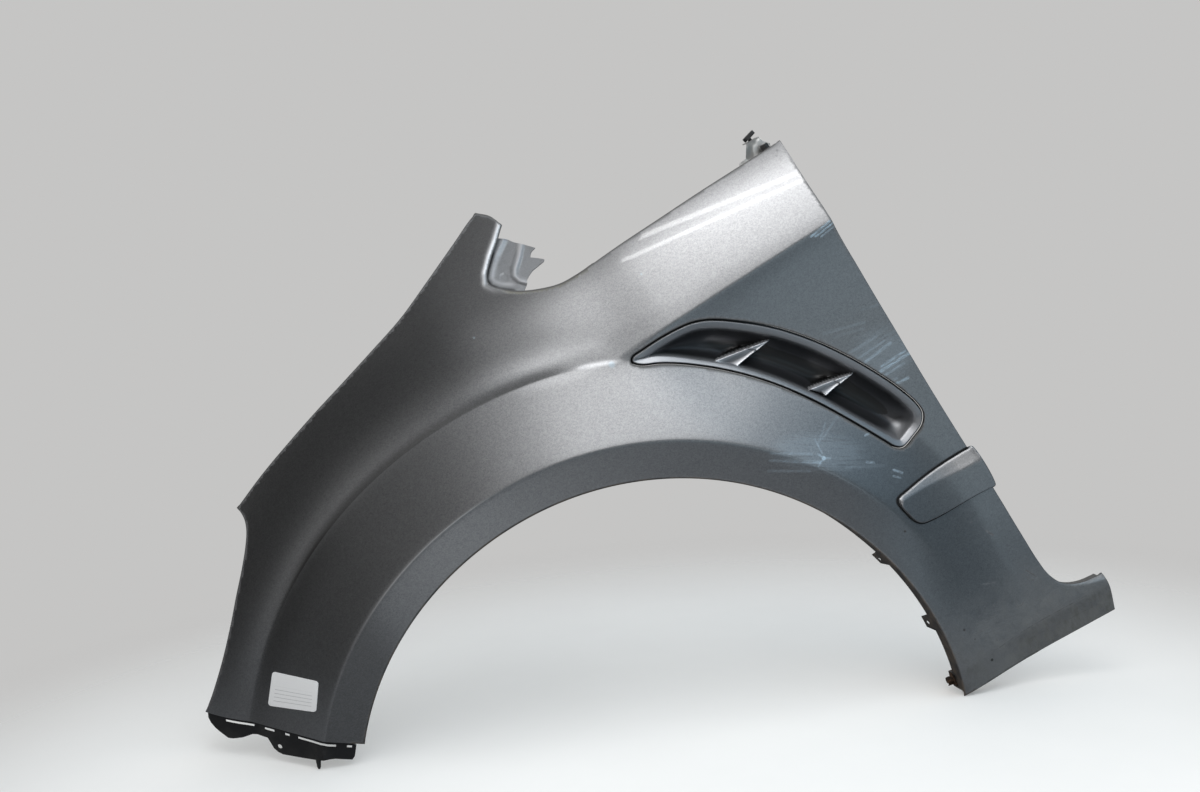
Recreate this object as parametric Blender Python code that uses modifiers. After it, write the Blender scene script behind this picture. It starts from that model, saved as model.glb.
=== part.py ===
"""Left front car fender with its side vent, side moulding and small brackets.

Axes are those of the car: +X points to the rear, -Y out of the car's left side and +Z up.
Shapes are worked out in millimetres about the wheel centre, then moved so that the origin
lies on the underside of the sill flange, and scaled to metres.
"""
import math

import bpy
import numpy as np
from mathutils import Vector, geometry

for old in list(bpy.data.objects):
    bpy.data.objects.remove(old, do_unlink=True)

MM = 0.001                     # millimetres to metres
ORIGIN = (505.0, 40.0, -93.8)  # underside of the sill flange, from the wheel centre

# Driving sizes of the panel
SHEET = 0.8                    # steel sheet thickness
ARCH_RADIUS = 372.0            # wheel arch edge
LIP_BAND = 47.0                # width of the lip, from the arch edge to the crease of the flare
FLARE_WIDTH = 93.0             # width of the flare, from that crease to the soft valley at its root
LIP_RADIUS = ARCH_RADIUS + LIP_BAND
FLARE_RADIUS = LIP_RADIUS + FLARE_WIDTH
LIP_FALL = 0.30                # how fast the lip band falls back towards the wheel
SIDE_DEPTH = 46.0              # body side behind the lip crease, at the wheel centre
SIDE_TAPER = 0.041             # body side coming out towards the rear
NOSE_CURVE = 0.00026           # body side curving in towards the nose
REAR_EDGE = 8.0                # depth of the arch edge behind the wheel
LIP_CURVE = 0.0003             # lip crease curving in towards the nose
SHOULDER_X = 215.0             # point of the shoulder crease
SHOULDER_Z = 484.0
SHOULDER_RISE = 0.0733         # shoulder crease climbing to the rear
CROWN_START = 0.15             # slope of the upper skin just above the crease
CROWN_END = 1.15               # slope at the bonnet edge
CROWN_LENGTH = 110.0           # height over which the slope builds up
WAIST_DEPTH = 14.0             # hollow below the shoulder crease
WAIST_REACH = 45.0
WAIST_LOW = 110.0
WAIST_TUCK = 0.034
SILL_CREASE = -55.0            # faint crease above the sill
SILL_TUCK = 0.12               # skin falling back below it

ARCH_REAR = -13.7              # arch ends, degrees above the rear horizontal
ARCH_FRONT = 143.0
ARCH_FLANGE = 20.0             # depth of the arch return flange
ARCH_TAB_DEPTH = 13.0          # extra depth of the liner tabs
ARCH_TABS = (17.5, 1.5, -11.2)  # liner tabs, degrees
ARCH_TAB_HALF = 8.0
SOFT_WIDTH = 128.0             # width of the rounded lip behind the wheel, where the flare fades out
STEP = 17.0                    # spacing of the points that shape the skin
CORNER = 6.0                   # relief left open at each corner between flanges
HOLE_RADIUS = 3.6              # fixing holes for 6 mm screws

# Driving sizes of the trim
VENT_GAP = 1.0                 # shut line round the vent grille
VENT_FRAME = 8.5               # width of the grille's flat frame
VENT_DEPTH = 24.0              # depth of the grille's dish
VENT_ROLL = 20.0               # how far the dish takes to reach that depth
VENT_WALL = 2.4
VENT_SKIRT = 11.0              # depth of the grille's outer wall behind the skin
VENT_SET = 0.6                 # frame set below the skin
VENT_RETURN = 5.0              # turned edge of the panel's vent opening
MOULD_PROUD = 8.5              # side moulding standing off the skin
MOULD_EDGE = 2.0               # thickness at its rim
MOULD_CREASE = 17.0            # height of its upper bevel
MOULD_GAP = 1.0                # air between its rim and the skin
PEG_RADIUS = 3.4
BRACKET_WALL = 2.8
FIT = 0.3                      # clearance between touching pieces


# Curves
def sstep(t):
    t = np.clip(t, 0.0, 1.0)
    return t * t * (3.0 - 2.0 * t)


def spline(points, closed=False, dense=24):
    """Centripetal curve through hand-set points, as a dense polyline."""
    p = [np.array(q, float) for q in points]
    n = len(p)
    out = []
    for i in range(n if closed else n - 1):
        b, c = p[i], p[(i + 1) % n]
        a = p[i - 1] if (closed or i > 0) else 2 * b - c
        d = p[(i + 2) % n] if (closed or i + 2 < n) else 2 * c - b
        ta = 0.0
        tb = ta + max(np.linalg.norm(b - a), 1e-6) ** 0.5
        tc = tb + max(np.linalg.norm(c - b), 1e-6) ** 0.5
        td = tc + max(np.linalg.norm(d - c), 1e-6) ** 0.5
        for k in range(dense):
            t = tb + (tc - tb) * k / dense
            ab = a * (tb - t) / (tb - ta) + b * (t - ta) / (tb - ta)
            bc = b * (tc - t) / (tc - tb) + c * (t - tb) / (tc - tb)
            cd = c * (td - t) / (td - tc) + d * (t - tc) / (td - tc)
            abc = ab * (tc - t) / (tc - ta) + bc * (t - ta) / (tc - ta)
            bcd = bc * (td - t) / (td - tb) + cd * (t - tb) / (td - tb)
            out.append(abc * (tc - t) / (tc - tb) + bcd * (t - tb) / (tc - tb))
    if not closed:
        out.append(p[-1])
    return np.array(out)


def lengths(line):
    return np.concatenate([[0.0], np.cumsum(np.linalg.norm(np.diff(line, axis=0), axis=1))])


def at_lengths(line, wanted):
    s = lengths(line)
    return np.stack([np.interp(wanted, s, line[:, k]) for k in range(line.shape[1])], axis=1)


def stations(total, step, corner=CORNER, tabs=(), half=0.0, ramp=4.0):
    """Distances along an edge: close to both corners, even between, and at each tab's corners."""
    fixed = [0.0, corner, total - corner, total]
    for c in tabs:
        fixed += [c - half - ramp, c - half, c + half, c + half + ramp]
    fixed = sorted(fixed)
    out = []
    for a, b in zip(fixed, fixed[1:]):
        count = max(1, round((b - a) / step))
        out += [a + (b - a) * k / count for k in range(count)]
    return np.array(out + [total])


def closed_stations(line, step):
    ring = np.vstack([line, line[:1]])
    total = lengths(ring)[-1]
    count = max(8, round(total / step))
    return at_lengths(ring, np.arange(count) * total / count)


def inside(points, polygon):
    """Which points lie inside a closed polygon."""
    x, z = points[:, 0], points[:, 1]
    result = np.zeros(len(points), bool)
    j = len(polygon) - 1
    for i in range(len(polygon)):
        (xi, zi), (xj, zj) = polygon[i], polygon[j]
        crosses = (zi > z) != (zj > z)
        with np.errstate(divide="ignore", invalid="ignore"):
            at = (xj - xi) * (z - zi) / (zj - zi) + xi
        result ^= crosses & (x < at)
        j = i
    return result


def distance(points, line, closed=True):
    """Distance from points to a polyline."""
    ends = np.vstack([line, line[:1]]) if closed else line
    best = np.full(len(points), 1e9)
    for a, b in zip(ends, ends[1:]):
        ab = b - a
        t = np.clip(((points - a) @ ab) / max(ab @ ab, 1e-12), 0, 1)
        best = np.minimum(best, np.linalg.norm(points - (a + t[:, None] * ab), axis=1))
    return best


def offset_loop(loop, by):
    """Closed loop moved sideways: positive moves a counter-clockwise loop inwards."""
    before, after = np.roll(loop, 1, axis=0), np.roll(loop, -1, axis=0)
    t1 = loop - before
    t2 = after - loop
    n1 = np.stack([-t1[:, 1], t1[:, 0]], 1) / np.linalg.norm(t1, axis=1)[:, None]
    n2 = np.stack([-t2[:, 1], t2[:, 0]], 1) / np.linalg.norm(t2, axis=1)[:, None]
    n = n1 + n2
    n /= np.linalg.norm(n, axis=1)[:, None]
    stretch = 1.0 / np.clip((n * n1).sum(1), 0.7, 1.0)
    return loop + n * (by * stretch)[:, None]


def counter_clockwise(loop):
    x, z = loop[:, 0], loop[:, 1]
    area = (x * np.roll(z, -1) - np.roll(x, -1) * z).sum()
    return loop if area > 0 else loop[::-1]


# The skin: its depth behind the lip crease at each point of the side view
def plan(x):
    return SIDE_DEPTH - SIDE_TAPER * x + NOSE_CURVE * np.minimum(x, 0) ** 2


def crown(h):
    hh = np.clip(h, 0, CROWN_LENGTH)
    rise = CROWN_START * hh + (CROWN_END - CROWN_START) * hh * hh / (2 * CROWN_LENGTH)
    return rise + CROWN_END * np.maximum(h - CROWN_LENGTH, 0)


def body(x, z):
    r = np.hypot(x, z)
    crease = SHOULDER_Z + (x - SHOULDER_X) * SHOULDER_RISE
    rearward = sstep(x / 260.0)
    h = (1 - rearward) * (r - FLARE_RADIUS) + rearward * (z - crease)
    waist = WAIST_DEPTH * (1 - np.exp(np.minimum(h, 0) / WAIST_REACH))
    waist = waist - WAIST_TUCK * np.maximum(-h - WAIST_LOW, 0)
    return plan(x) + crown(np.maximum(h, 0)) + rearward * waist


def skin(x, z):
    x, z = np.asarray(x, float), np.asarray(z, float)
    r = np.hypot(x, z)
    angle = np.degrees(np.arctan2(z, x))
    lip = LIP_CURVE * np.minimum(x, 0) ** 2
    rear = sstep((38.0 - angle) / 35.0)
    straight = np.clip((r - LIP_RADIUS) / (FLARE_RADIUS - LIP_RADIUS), 0, 1)
    soft = sstep((r - ARCH_RADIUS) / SOFT_WIDTH)
    side = body(x, z)
    flared = lip + (side - lip) * straight + LIP_FALL * np.maximum(LIP_RADIUS - r, 0)
    plain = REAR_EDGE + (side - REAR_EDGE) * soft + SILL_TUCK * np.maximum(SILL_CREASE - z, 0)
    return (1 - rear) * flared + rear * plain


# Meshes
def triangulate(loops, lines, fill):
    """Flat mesh inside the first loop and outside the others, with every line kept as edges."""
    coords, edges = [], []
    for loop in loops:
        base = len(coords)
        coords += [tuple(p) for p in loop]
        edges += [(base + i, base + (i + 1) % len(loop)) for i in range(len(loop))]
    for line in lines:
        base = len(coords)
        coords += [tuple(p) for p in line]
        edges += [(base + i, base + i + 1) for i in range(len(line) - 1)]
    coords += [tuple(p) for p in fill]
    found = geometry.delaunay_2d_cdt([Vector(c) for c in coords], edges, [], 0, 1e-4)
    verts = np.array([tuple(v) for v in found[0]])
    faces = np.array([f for f in found[2] if len(f) == 3])
    middle = verts[faces].mean(axis=1)
    keep = inside(middle, loops[0])
    for hole in loops[1:]:
        keep &= ~inside(middle, hole)
    faces = faces[keep]
    a, b, c = verts[faces[:, 0]], verts[faces[:, 1]], verts[faces[:, 2]]
    area = (b[:, 0] - a[:, 0]) * (c[:, 1] - a[:, 1]) - (c[:, 0] - a[:, 0]) * (b[:, 1] - a[:, 1])
    faces = np.where((area < 0)[:, None], faces[:, ::-1], faces)
    faces = faces[np.abs(area) > 1e-3]
    used = np.unique(faces)
    renumber = np.full(len(verts), -1)
    renumber[used] = np.arange(len(used))
    return verts[used], renumber[faces]


def hex_grid(low, high, step):
    points = []
    row = 0
    z = low[1]
    while z <= high[1]:
        x = low[0] + (step / 2 if row % 2 else 0.0)
        while x <= high[0]:
            points.append((x, z))
            x += step
        z += step * math.sqrt(3) / 2
        row += 1
    return np.array(points)


def open_edges(faces):
    """Directed edges that only one face uses."""
    seen = {}
    for face in faces:
        for i in range(len(face)):
            seen[(face[i], face[(i + 1) % len(face)])] = True
    return [(a, b) for (a, b) in seen if (b, a) not in seen]


def collection(name):
    made = bpy.data.collections.new(name)
    bpy.context.scene.collection.children.link(made)
    return made


FENDER = collection("car_fender")
CUTTERS = collection("cutters")


def material(name, colour, metallic, roughness):
    mat = bpy.data.materials.new(name)
    mat.use_nodes = True
    shader = mat.node_tree.nodes["Principled BSDF"]
    shader.inputs["Base Color"].default_value = (*colour, 1.0)
    shader.inputs["Metallic"].default_value = metallic
    shader.inputs["Roughness"].default_value = roughness
    mat.diffuse_color = (*colour, 1.0)
    return mat


def make(name, verts, faces, mat=None, where=None):
    """Object from millimetre points about the wheel centre."""
    mesh = bpy.data.meshes.new(name)
    moved = (np.asarray(verts, float) - np.array(ORIGIN)) * MM
    mesh.from_pydata([tuple(v) for v in moved], [], [tuple(int(i) for i in f) for f in faces])
    mesh.validate()
    obj = bpy.data.objects.new(name, mesh)
    (where or FENDER).objects.link(obj)
    if mat:
        mesh.materials.append(mat)
    return obj


def cutter(name, verts, faces):
    obj = make(name, verts, faces, None, CUTTERS)
    obj.hide_render = True
    obj.display_type = "WIRE"
    return obj


def boolean(obj, other, operation):
    mod = obj.modifiers.new(operation.lower(), "BOOLEAN")
    mod.operation = operation
    mod.solver = "EXACT"
    mod.object = other
    return mod


def thicken(obj, thickness):
    mod = obj.modifiers.new("sheet", "SOLIDIFY")
    mod.thickness = thickness * MM
    mod.offset = -1.0
    mod.use_even_offset = True
    mod.use_quality_normals = True
    return mod


def frame_of(axis):
    axis = np.array(axis, float)
    axis /= np.linalg.norm(axis)
    helper = np.array([0.0, 0.0, 1.0]) if abs(axis[2]) < 0.9 else np.array([1.0, 0.0, 0.0])
    u = np.cross(helper, axis)
    u /= np.linalg.norm(u)
    return u, np.cross(axis, u), axis


def turned(base, axis, profile, sides=20, turn=0.0):
    """Solid of revolution: profile rows are (distance along the axis, radius)."""
    u, v, w = frame_of(axis)
    base = np.array(base, float)
    verts, faces = [], []
    for along, radius in profile:
        for k in range(sides):
            a = 2 * math.pi * k / sides + turn
            verts.append(base + w * along + (u * math.cos(a) + v * math.sin(a)) * radius)
    for row in range(len(profile) - 1):
        for k in range(sides):
            a, b = row * sides + k, row * sides + (k + 1) % sides
            faces.append((a, b, b + sides, a + sides))
    faces.append(tuple(range(sides))[::-1])
    faces.append(tuple(range((len(profile) - 1) * sides, len(profile) * sides)))
    return verts, faces


def prism(outline, base, u, v, height, flip=False):
    """Flat outline in the plane of u and v, raised along u x v by the height."""
    u, v = np.array(u, float), np.array(v, float)
    w = np.cross(u, v)
    base = np.array(base, float)
    loop = counter_clockwise(np.array(outline, float))
    n = len(loop)
    low = [base + u * p[0] + v * p[1] for p in loop]
    high = [q + w * height for q in low]
    faces = [tuple(range(n))[::-1], tuple(range(n, 2 * n))]
    faces += [(i, (i + 1) % n, n + (i + 1) % n, n + i) for i in range(n)]
    return low + high, faces


def rounded_rect(width, height, radius, steps=4):
    out = []
    for cx, cz, start in ((1, 1, 0), (-1, 1, 90), (-1, -1, 180), (1, -1, 270)):
        for k in range(steps + 1):
            a = math.radians(start + 90 * k / steps)
            out.append((cx * (width / 2 - radius) + radius * math.cos(a),
                        cz * (height / 2 - radius) + radius * math.sin(a)))
    return out


def slab(loops, lines, fill, top, bottom):
    """Closed piece between two depth functions over a flat outline."""
    flat, faces = triangulate(loops, lines, fill)
    n = len(flat)
    front = np.stack([flat[:, 0], top(flat[:, 0], flat[:, 1]), flat[:, 1]], 1)
    back = np.stack([flat[:, 0], bottom(flat[:, 0], flat[:, 1]), flat[:, 1]], 1)
    verts = np.vstack([front, back])
    out = [tuple(f) for f in faces] + [tuple(n + i for i in f[::-1]) for f in faces]
    for a, b in open_edges(faces):
        out.append((b, a, n + a, n + b))
    return verts, out


PAINT = material("silver_paint", (0.33, 0.35, 0.38), 0.85, 0.32)
GRILLE = material("grey_grille", (0.16, 0.17, 0.18), 0.6, 0.4)
BLACK = material("black_plastic", (0.015, 0.015, 0.016), 0.0, 0.5)
ZINC = material("bare_metal", (0.42, 0.42, 0.4), 1.0, 0.42)
RUSTY = material("rusty_spring_steel", (0.09, 0.06, 0.045), 0.4, 0.75)
STUD = material("dark_stud", (0.12, 0.12, 0.12), 0.9, 0.45)

# Fender panel: outline of the side view, corner to corner, counter-clockwise
def arch_point(degrees, beyond=0.0):
    """Point on the arch edge, or that far outside it."""
    a = math.radians(degrees)
    return ((ARCH_RADIUS + beyond) * math.cos(a), (ARCH_RADIUS + beyond) * math.sin(a))


def bowed(start, end, rows):
    """Points between two ends: rows are (share of the way, bow to the left of the line)."""
    start, end = np.array(start, float), np.array(end, float)
    run = end - start
    left = np.array([-run[1], run[0]]) / np.linalg.norm(run)
    return [tuple(start + run * share + left * bow) for share, bow in rows]


NOSE = (-470, 328)
BUMPER_EDGE = bowed(arch_point(ARCH_FRONT, 8.6), NOSE,
                    ((0.0, 0.0), (0.077, -1.6), (0.213, -4.1), (0.486, -3.4), (0.754, -1.8), (1.0, 0.0)))
FRONT_EDGE = [NOSE, (-447, 347), (-412, 380), (-380, 414), (-355, 443), (-333, 468),
              (-315, 491), (-306, 506), (-303, 517), (-304, 526), (-307, 533)]
BONNET_EDGE = [(-307, 533), (-257, 556), (-206, 576), (-162, 592), (-120, 606), (-70, 623),
               (-19, 641), (28, 663), (57, 677), (86, 691), (112, 704), (127, 710)]
SPUR_END = [(127, 710), (141, 698), (149, 680)]
NOTCH_EDGE = [(149, 680), (134, 666), (116, 651), (101, 636), (97, 626), (105, 616), (125, 602),
              (150, 592), (172, 587), (192, 587), (214, 589)]
GLASS_EDGE = [(214, 589), (258, 594), (316, 599), (374, 604), (431, 608), (488, 612)]
DOOR_EDGE = [(488, 612), (482, 559), (483, 502), (489, 436), (495, 357), (501, 268), (508, 184),
             (514, 124), (519, 56), (523, 9), (527, -11), (535, -26), (547, -35), (561, -40),
             (575, -42), (587, -43)]
HEEL_EDGE = [(587, -43), (588, -62), (582, -94)]
SILL_EDGE = [(582, -94), (470, -94), arch_point(ARCH_REAR)]
VENT_LINE = [(196, 470), (204, 461), (226, 451), (251, 436), (293, 404), (332, 366), (367, 322),
             (400, 271), (418, 241), (428, 225), (438, 219), (455, 223), (472, 231), (480, 243),
             (479, 258), (468, 286), (446, 326), (422, 362), (394, 397), (365, 426), (333, 451),
             (303, 470), (280, 478), (244, 480), (215, 478), (200, 476)]
MOULD_LINE = [(525, 181), (508, 183), (472, 186), (434, 186), (410, 179), (398, 173), (394, 167),
              (396, 157), (401, 145), (406, 136), (413, 130), (424, 127), (468, 125), (516, 124)]
MOULD_PEGS = [(425, 157), (490, 154)]


def arch_line(step_deg=1.0):
    count = int((ARCH_FRONT - ARCH_REAR) / step_deg)
    angles = np.radians(np.linspace(ARCH_FRONT, ARCH_REAR, count + 1))
    return np.stack([ARCH_RADIUS * np.cos(angles), ARCH_RADIUS * np.sin(angles)], 1)


def arch_length(degrees):
    return ARCH_RADIUS * math.radians(ARCH_FRONT - degrees)


# Each edge of the panel: its line, tabs along it, and the rows of its turned flange
# as (depth into the car, shift into the panel). The last row takes the tab's extra depth.
BONNET_TABS = (70.0, 235.0, 400.0)
SILL_LENGTH = lengths(np.array(SILL_EDGE, float))[-1]
SILL_TABS = (SILL_LENGTH * 0.262, SILL_LENGTH * 0.796)
EDGES = [
    ("arch", arch_line(), tuple(arch_length(a) for a in ARCH_TABS), ARCH_TAB_HALF, ARCH_TAB_DEPTH,
     ((6.0, 0.3), (ARCH_FLANGE, 0.5))),
    ("sill", np.array(SILL_EDGE[::-1], float), SILL_TABS, 14.0, 8.0, ((5.0, 0.2), (20.0, 0.2))),
    ("heel", spline(HEEL_EDGE[::-1]), (), 0.0, 0.0, ((9.0, 1.0),)),
    ("door", spline(DOOR_EDGE[::-1]), (), 0.0, 0.0, ((3.0, 1.2), (12.0, 1.6))),
    ("glass", spline(GLASS_EDGE[::-1]), (), 0.0, 0.0, ((4.0, 2.5), (15.0, 3.0))),
    ("notch", spline(NOTCH_EDGE[::-1]), (), 0.0, 0.0, ((6.0, 1.0), (12.0, 1.5))),
    ("spur", spline(SPUR_END[::-1]), (), 0.0, 0.0, ((5.0, 1.0),)),
    ("bonnet", spline(BONNET_EDGE[::-1]), BONNET_TABS, 13.0, 12.0, ((5.0, 8.0), (18.0, 7.0))),
    ("front", spline(FRONT_EDGE[::-1]), (), 0.0, 0.0, ((3.0, 1.5), (13.0, 2.0))),
    ("bumper", spline(BUMPER_EDGE[::-1]), (), 0.0, 0.0, ((4.0, 0.5), (17.0, 0.5))),
]


def panel_outline():
    """Points of the whole outline, clockwise, with the edge and tab share of each."""
    points, owner, share = [], [], []
    for index, (_, line, tabs, half, _, _) in enumerate(EDGES):
        total = lengths(line)[-1]
        at = stations(total, STEP, CORNER, tabs, half)
        pts = at_lengths(line, at)
        for k in range(len(at) - 1):
            points.append(pts[k])
            owner.append(-1 if k == 0 else index)
            share.append(1.0 if any(abs(at[k] - c) <= half + 0.01 for c in tabs) else 0.0)
    return np.array(points), owner, share


def circle_line(radius, start, end, step_deg):
    count = max(2, int(abs(end - start) / step_deg))
    angles = np.radians(np.linspace(start, end, count + 1))
    return np.stack([radius * np.cos(angles), radius * np.sin(angles)], 1)


def clip_inside(line, loops, margin):
    keep = inside(line, loops[0]) & (distance(line, loops[0]) > margin)
    for hole in loops[1:]:
        keep &= ~inside(line, hole) & (distance(line, hole) > margin)
    runs, run = [], []
    for p, k in zip(line, keep):
        if k:
            run.append(p)
        elif run:
            runs.append(np.array(run))
            run = []
    if run:
        runs.append(np.array(run))
    return [r for r in runs if len(r) > 1]


ROW_DEGREES = 2.6
VENT_PITCH = 9.5               # spacing of the points round the vent
VALLEY_HALF = 17.0             # rows stand close together this far from the valley of the flare
outline, owner, share = panel_outline()
vent_loop = closed_stations(counter_clockwise(spline(VENT_LINE, closed=True)), VENT_PITCH)
loops = [outline, vent_loop]
lines = []
for radius in (LIP_RADIUS, FLARE_RADIUS):
    lines += clip_inside(circle_line(radius, ARCH_FRONT + 14, ARCH_REAR - 8, ROW_DEGREES), loops, 4.0)
shoulder_x = np.arange(150.0, 486.0, 16.0)
shoulder = np.stack([shoulder_x, SHOULDER_Z + (shoulder_x - SHOULDER_X) * SHOULDER_RISE], 1)
shoulder_line = shoulder[np.hypot(shoulder[:, 0], shoulder[:, 1]) > FLARE_RADIUS + 9]
lines += clip_inside(shoulder_line, loops, 4.0)

fill = []
ring_radii = [ARCH_RADIUS + LIP_BAND * f for f in (0.19, 0.49, 0.79, 0.945)]
ring_radii += [LIP_RADIUS + FLARE_WIDTH * f for f in (0.027, 0.13, 0.31, 0.505, 0.70, 0.86, 0.95)]
ring_radii += [FLARE_RADIUS + 5.0, FLARE_RADIUS + VALLEY_HALF]
for radius in ring_radii:
    fill += list(circle_line(radius, ARCH_FRONT + 14, ARCH_REAR - 8, ROW_DEGREES))
for shift in (-14.0, -5.0, 5.0, 14.0):
    fill += [(x, z + shift) for x, z in shoulder if math.hypot(x, z) > FLARE_RADIUS + 20]
grid = hex_grid(outline.min(axis=0), outline.max(axis=0), STEP)
shoulder_gap = np.abs(grid[:, 1] - (SHOULDER_Z + (grid[:, 0] - SHOULDER_X) * SHOULDER_RISE))
grid = grid[(np.hypot(grid[:, 0], grid[:, 1]) > FLARE_RADIUS + VALLEY_HALF + STEP * 0.6)
            & ~((shoulder_gap < 14 + STEP * 0.5) & (grid[:, 0] > 150))]
fill = np.vstack([np.array(fill), grid])
keep = inside(fill, outline) & (distance(fill, outline) > 6.0)
keep &= ~inside(fill, vent_loop) & (distance(fill, vent_loop) > 5.0)
for line in lines:
    keep &= distance(fill, line, closed=False) > 2.4
fill = fill[keep]

flat, faces = triangulate(loops, lines, fill)
verts = [np.array((x, y, z)) for (x, z), y in zip(flat, skin(flat[:, 0], flat[:, 1]))]
faces = [tuple(f) for f in faces]


def nearest(point):
    return int(np.argmin(np.hypot(flat[:, 0] - point[0], flat[:, 1] - point[1])))


# Turned flanges along every edge, leaving a relief at each corner
count = len(outline)
mesh_index = [nearest(p) for p in outline]
behind = {}
for i in range(count):
    if owner[i] < 0:
        continue
    rows = EDGES[owner[i]][5]
    before, after = outline[i - 1], outline[(i + 1) % count]
    along = (after - before) / np.linalg.norm(after - before)
    into = np.array([-along[1], along[0]])
    chain = [mesh_index[i]]
    for number, (depth, shift) in enumerate(rows):
        if number == len(rows) - 1:
            depth += share[i] * EDGES[owner[i]][4]
        x, z = outline[i] + into * shift
        chain.append(len(verts))
        verts.append(np.array((x, verts[mesh_index[i]][1] + depth, z)))
    behind[i] = chain
for i in range(count):
    j = (i + 1) % count
    if owner[i] < 0 or owner[j] != owner[i]:
        continue
    a, b = behind[i], behind[j]
    for k in range(len(a) - 1):
        faces.append((b[k], a[k], a[k + 1], b[k + 1]))
vent_index = [nearest(p) for p in vent_loop]
base = len(verts)
for i in vent_index:
    verts.append(verts[i] + np.array((0.0, VENT_RETURN, 0.0)))
for i in range(len(vent_index)):
    j = (i + 1) % len(vent_index)
    faces.append((vent_index[i], vent_index[j], base + j, base + i))

panel = make("fender_panel", verts, faces, PAINT)
thicken(panel, SHEET)


def edge_point(name, along, row=-1, between=0.5):
    """Middle of the flange at a distance along an edge."""
    for index, (label, line, _, _, extra, rows) in enumerate(EDGES):
        if label != name:
            continue
        p = at_lengths(line, np.array([along - 1.0, along, along + 1.0]))
        t = (p[2] - p[0]) / np.linalg.norm(p[2] - p[0])
        into = np.array([-t[1], t[0]])
        depth0, shift0 = rows[row - 1] if len(rows) > 1 else (0.0, 0.0)
        depth1, shift1 = rows[row]
        depth1 += extra
        x, z = p[1] + into * (shift0 + (shift1 - shift0) * between)
        y = float(skin(p[1][0], p[1][1])) + depth0 + (depth1 - depth0) * between
        normal = np.array([into[0], 0.0, into[1]])
        return np.array([x, y, z]), normal
    return None


# Fixing holes through the tabs
bumper_line = spline(BUMPER_EDGE[::-1])
bumper_total = lengths(bumper_line)[-1]
HOOKS = tuple(bumper_total * share for share in (0.142, 0.498, 0.853))  # pegs along the bumper edge
HOOK_RADIUS = 2.7
BOLT_RADIUS = 3.0
BOLT_X = 470.0
BOLT_Z = 607.6                 # turned glass edge at the bolt
BOLT_AT = (BOLT_X, float(skin(BOLT_X, BOLT_Z + 3.1)) + 9.5, BOLT_Z)
hole_parts = ([], [])


def add_hole(point, normal, radius=HOLE_RADIUS, reach=5.0):
    v, f = turned(point - normal * reach, normal, ((0, radius), (2 * reach, radius)), 16)
    base = len(hole_parts[0])
    hole_parts[0].extend(v)
    hole_parts[1].extend([tuple(base + i for i in face) for face in f])


for tab in ARCH_TABS:
    place, normal = edge_point("arch", arch_length(tab), between=0.76)
    add_hole(place, normal, 2.6)
for tab in BONNET_TABS:
    place, normal = edge_point("bonnet", tab, between=0.62)
    add_hole(place, normal, HOLE_RADIUS, 3.0)
for tab in SILL_TABS:
    place, normal = edge_point("sill", tab, between=0.62)
    add_hole(place, normal)
for tab in HOOKS:
    place, normal = edge_point("bumper", tab, between=0.55)
    add_hole(place, normal, HOOK_RADIUS + FIT)
add_hole(np.array(BOLT_AT), np.array((0.0, 0.0, 1.0)), BOLT_RADIUS + FIT, 4.0)
for x, z in MOULD_PEGS:
    add_hole(np.array((x, float(skin(x, z)), z)), np.array((0.0, 1.0, 0.0)), PEG_RADIUS + FIT)
holes = cutter("panel_holes", *hole_parts)
boolean(panel, holes, "DIFFERENCE")

# Vent grille: flat frame, dished bowl, two fins pointing to the rear
VENT_FINS = [((285, 424), (311, 402), (356, 411)), ((369, 341), (391, 318), (428, 326))]
FIN_SET = 1.2
FIN_FALL = 5.0
frame_loop = offset_loop(vent_loop, VENT_GAP)
inner_loop = offset_loop(frame_loop, VENT_FRAME)
wall_loop = offset_loop(frame_loop, VENT_FRAME + 5.0)


def vent_depth(x, z):
    p = np.stack([np.atleast_1d(x), np.atleast_1d(z)], 1)
    d = np.where(inside(p, inner_loop), distance(p, inner_loop), 0.0)
    t = np.clip(d / VENT_ROLL, 0, 1)
    bowl = VENT_DEPTH * (1 - (1 - t) ** 2)
    for fin in VENT_FINS:
        tri = counter_clockwise(np.array(fin, float))
        away = np.where(inside(p, tri), 0.0, distance(p, tri))
        tip = np.array(fin[2], float)
        root = (np.array(fin[0], float) + np.array(fin[1], float)) / 2
        reach = np.clip(((p - root) @ (tip - root)) / ((tip - root) @ (tip - root)), 0, 1)
        bowl = np.minimum(bowl, FIN_SET + 6.0 * reach ** 2 + FIN_FALL * away)
    return bowl


def fin_outline(fin, grow):
    tri = counter_clockwise(np.array(fin, float))
    ring = []
    for i in range(3):
        a, b = tri[i], tri[(i + 1) % 3]
        n = max(2, int(np.linalg.norm(b - a) / 9))
        ring += [a + (b - a) * k / n for k in range(n)]
    return offset_loop(np.array(ring), -grow)


def vent_front(x, z):
    return skin(x, z) + VENT_SET + vent_depth(x, z)


VENT_STEP = 9.0
vent_lines = []
for ring in (inner_loop, wall_loop):
    vent_lines.append(np.vstack([ring, ring[:1]]))
for fin in VENT_FINS:
    for grow in (0.0, 4.0):
        ring = fin_outline(fin, grow)
        vent_lines += clip_inside(np.vstack([ring, ring[:1]]), [wall_loop], 1.0)
vent_fill = hex_grid(wall_loop.min(axis=0), wall_loop.max(axis=0), VENT_STEP)
keep = inside(vent_fill, wall_loop) & (distance(vent_fill, wall_loop) > 4.0)
for line in vent_lines[2:]:
    keep &= distance(vent_fill, line, closed=False) > 2.0
flat_v, faces_v = triangulate([frame_loop], vent_lines, vent_fill[keep])
front = np.stack([flat_v[:, 0], vent_front(flat_v[:, 0], flat_v[:, 1]), flat_v[:, 1]], 1)
n = len(front)
bulk = [tuple(p) for p in front]
skin_faces = [tuple(f) for f in faces_v]
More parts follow.
